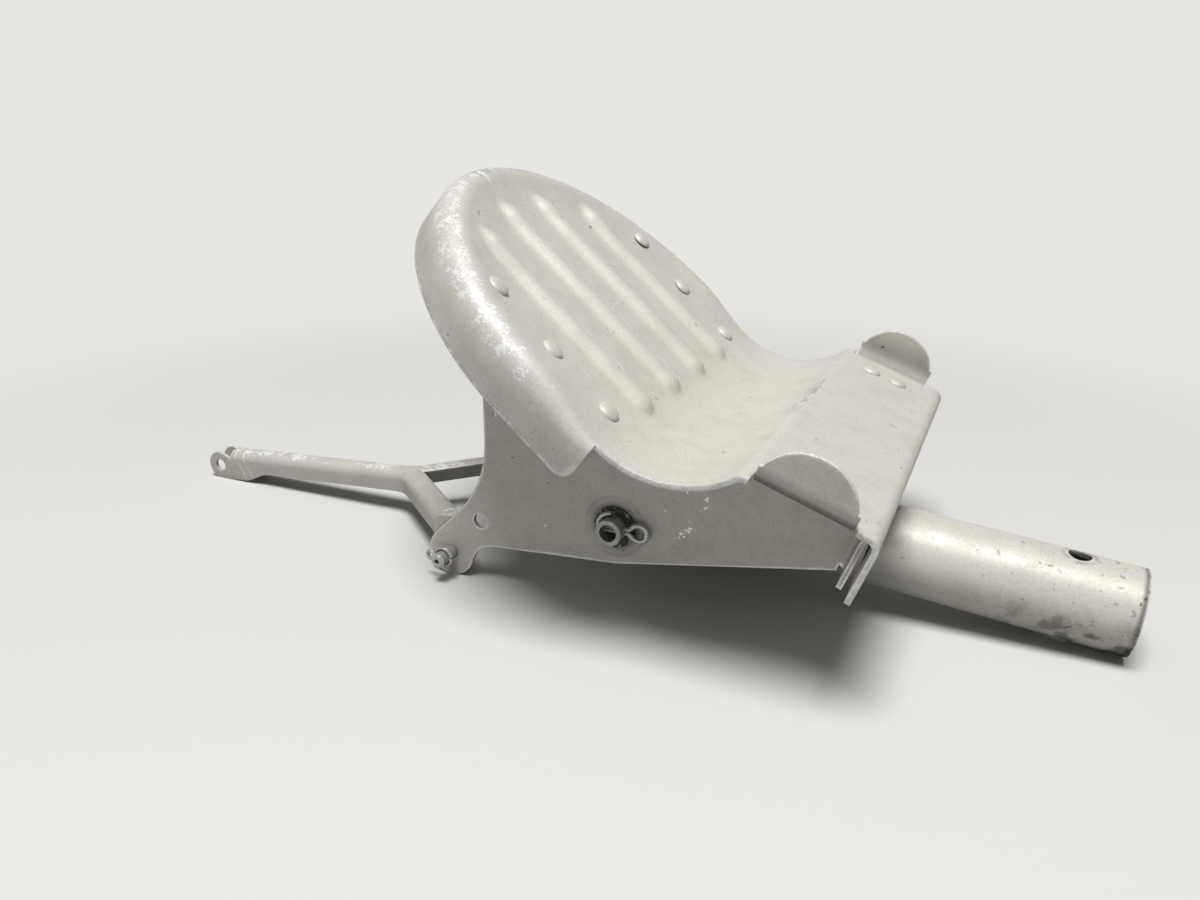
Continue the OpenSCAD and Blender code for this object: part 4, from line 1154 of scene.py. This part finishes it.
class PEDAL_OT_link(bpy.types.Operator):
    """Forms the forked link: a channel with a rounded back, two legs, pin ears and a two-eared end."""
    bl_idname = "pedal.link"
    bl_label = "Link"

    def execute(self, context):
        s = context.scene.pedal_link
        f = context.scene.pedal_fasteners
        piece = new_object("brake_link_channel", link_mesh(s))
        coat(piece, worn_enamel("grey_enamel_link", link_wear))
        thicken(piece, s.sheet_t)
        room = rods("head_room", (CLEVIS, s.head_room, s.ear_y - s.sheet_t))
        ears = pin_ears(s)
        holes = rods("pin_holes", (CLEVIS, f.clevis_d / 2 + s.run_fit, s.ear_y + s.width),
                     (FAR_HOLE, s.hole_d / 2, s.width))
        for tool, operation in ((room, "DIFFERENCE"), (ears, "UNION"), (holes, "DIFFERENCE")):
            cut = piece.modifiers.new(tool.name, "BOOLEAN")
            cut.object = tool
            cut.operation = operation
            cut.solver = "EXACT"
        plain_mesh(piece, math.radians(32))
        for tool in (room, ears, holes):
            bpy.data.meshes.remove(tool.data)
        if len(piece.data.polygons) < 200:
            raise RuntimeError("the link was not made")
        dress(piece, "link", "paint", "brake_link")
        return {"FINISHED"}


# Stage

def studio_cove(settings):
    """A round floor whose edge turns up all round."""
    bm = bmesh.new()
    profile = [(0.02 * settings.cove_r, 0.0), (0.5 * settings.cove_r, 0.0)]
    profile += [(settings.cove_r + settings.cove_rise * math.sin(a), settings.cove_rise * (1 - math.cos(a)))
                for a in spaced(0, math.pi / 2, 0.1)]
    sides = 96
    rings = []
    turns = [k * math.tau / sides for k in range(sides)]
    for r, z in profile:
        rings.append([bm.verts.new((r * math.cos(a), r * math.sin(a), z)) for a in turns])
    bm.faces.new(rings[0])
    for inner, outer in zip(rings, rings[1:]):
        for k in range(sides):
            j = (k + 1) % sides
            bm.faces.new((inner[k], outer[k], outer[j], inner[j]))
    bmesh.ops.recalc_face_normals(bm, faces=bm.faces)
    mesh = as_mesh(bm, "studio_floor")
    mesh.shade_smooth()
    return mesh


def matt_paper(name):
    """Studio paper: pale and matt, with a faint tooth. Far from the part it shows evenly pale to the eye."""
    colours = bpy.context.scene.pedal_finish
    material, tree, at = new_material(name)
    tooth = grain(tree, at, 1.5 * MM)
    bump = add(tree, "ShaderNodeBump", {"Strength": 0.1, "Distance": 0.05 * MM, "Height": tooth})
    seen = add(tree, "ShaderNodeLightPath", out="Is Camera Ray")
    for kind in ("Is Glossy Ray", "Is Transmission Ray"):
        ray = add(tree, "ShaderNodeLightPath", out=kind)
        seen = add(tree, "ShaderNodeMath", {0: seen, 1: ray}, operation="MAXIMUM")
    shown = layered(tree, colours.floor_bounce, (seen, colours.floor))
    paper = add(tree, "ShaderNodeBsdfPrincipled", {"Base Color": shown, "Roughness": 0.9, "Normal": bump})
    even = add(tree, "ShaderNodeEmission", {"Color": colours.backdrop, "Strength": 1.0})
    away = add(tree, "ShaderNodeVectorMath", {0: at}, out=1, operation="LENGTH")
    far = mask(tree, seen, (away, 200 * MM, 480 * MM))
    shader = add(tree, "ShaderNodeMixShader", {0: far, 1: paper, 2: even})
    add(tree, "ShaderNodeOutputMaterial", {"Surface": shader})
    return material


def lamp(name, spot, aim, size, watts):
    """A large soft lamp that looks at a point."""
    data = bpy.data.lights.new(name, "AREA")
    data.shape = "DISK"
    data.size = size
    data.energy = watts
    obj = new_object(name, data)
    obj.location = spot
    obj.rotation_euler = (Vector(aim) - Vector(spot)).to_track_quat("-Z", "Y").to_euler()


class PEDAL_OT_stage(bpy.types.Operator):
    """Sets up the camera, the lamps and the pale studio floor."""
    bl_idname = "pedal.stage"
    bl_label = "Stage"

    def execute(self, context):
        scene = context.scene
        settings = scene.pedal_stage
        camera = bpy.data.cameras.new("camera")
        camera.sensor_width = 36
        camera.lens = settings.lens
        camera.clip_start = 0.01
        view = new_object("camera", camera)
        spot = Vector(settings.camera_place)
        look = (Vector(settings.camera_aim) - spot).to_track_quat("-Z", "Y").to_matrix()
        look = look @ Matrix.Rotation(settings.camera_roll, 3, "Z")
        view.matrix_world = Matrix.Translation(spot) @ look.to_4x4()
        scene.camera = view
        floor = new_object("studio_floor", studio_cove(settings))
        coat(floor, matt_paper("matt_paper"))
        lamp("key_lamp", settings.key_place, settings.key_aim, settings.key_size, settings.key_power)
        lamp("fill_lamp", settings.fill_place, settings.fill_aim, settings.fill_size, settings.fill_power)
        world = bpy.data.worlds.new("studio")
        world.use_nodes = True
        light = world.node_tree.nodes["Background"].inputs
        light["Color"].default_value = (1, 1, 1, 1)
        light["Strength"].default_value = settings.sky
        scene.world = world
        scene.view_settings.view_transform = "Standard"
        return {"FINISHED"}


OPERATORS = (PEDAL_OT_stage, PEDAL_OT_foot_plate, PEDAL_OT_brackets, PEDAL_OT_rivets, PEDAL_OT_pivot,
             PEDAL_OT_split_pins, PEDAL_OT_arm, PEDAL_OT_link)
GROUPS = {"pedal_plate": PlateSizes, "pedal_fasteners": FastenerSizes, "pedal_link": LinkSizes,
          "pedal_finish": FinishColours, "pedal_stage": StageSettings}


class PEDAL_PT_sidebar(bpy.types.Panel):
    """Lists the steps that dress the pedal, and their sizes and colours."""
    bl_idname = "PEDAL_PT_sidebar"
    bl_label = "Rudder pedal"
    bl_space_type = "VIEW_3D"
    bl_region_type = "UI"
    bl_category = "Pedal"

    def draw(self, context):
        for operator in OPERATORS:
            self.layout.operator(operator.bl_idname)
        for group, kind in GROUPS.items():
            column = self.layout.column(heading=kind.__name__)
            for name in kind.__annotations__:
                column.prop(getattr(context.scene, group), name)


def register():
    """Adds the classes and the scene's settings."""
    for kind in (*GROUPS.values(), *OPERATORS, PEDAL_PT_sidebar):
        bpy.utils.register_class(kind)
    for name, kind in GROUPS.items():
        setattr(bpy.types.Scene, name, PointerProperty(type=kind))


def unregister():
    """Takes the classes and the scene's settings away."""
    for name in GROUPS:
        delattr(bpy.types.Scene, name)
    for kind in reversed((*GROUPS.values(), *OPERATORS, PEDAL_PT_sidebar)):
        bpy.utils.unregister_class(kind)


def main():
    """Dresses the pedal."""
    register()
    bpy.ops.pedal.stage()
    bpy.ops.pedal.foot_plate()
    bpy.ops.pedal.brackets()
    bpy.ops.pedal.rivets()
    bpy.ops.pedal.pivot()
    bpy.ops.pedal.split_pins()
    bpy.ops.pedal.arm()
    bpy.ops.pedal.link()


if __name__ == "__main__":
    main()
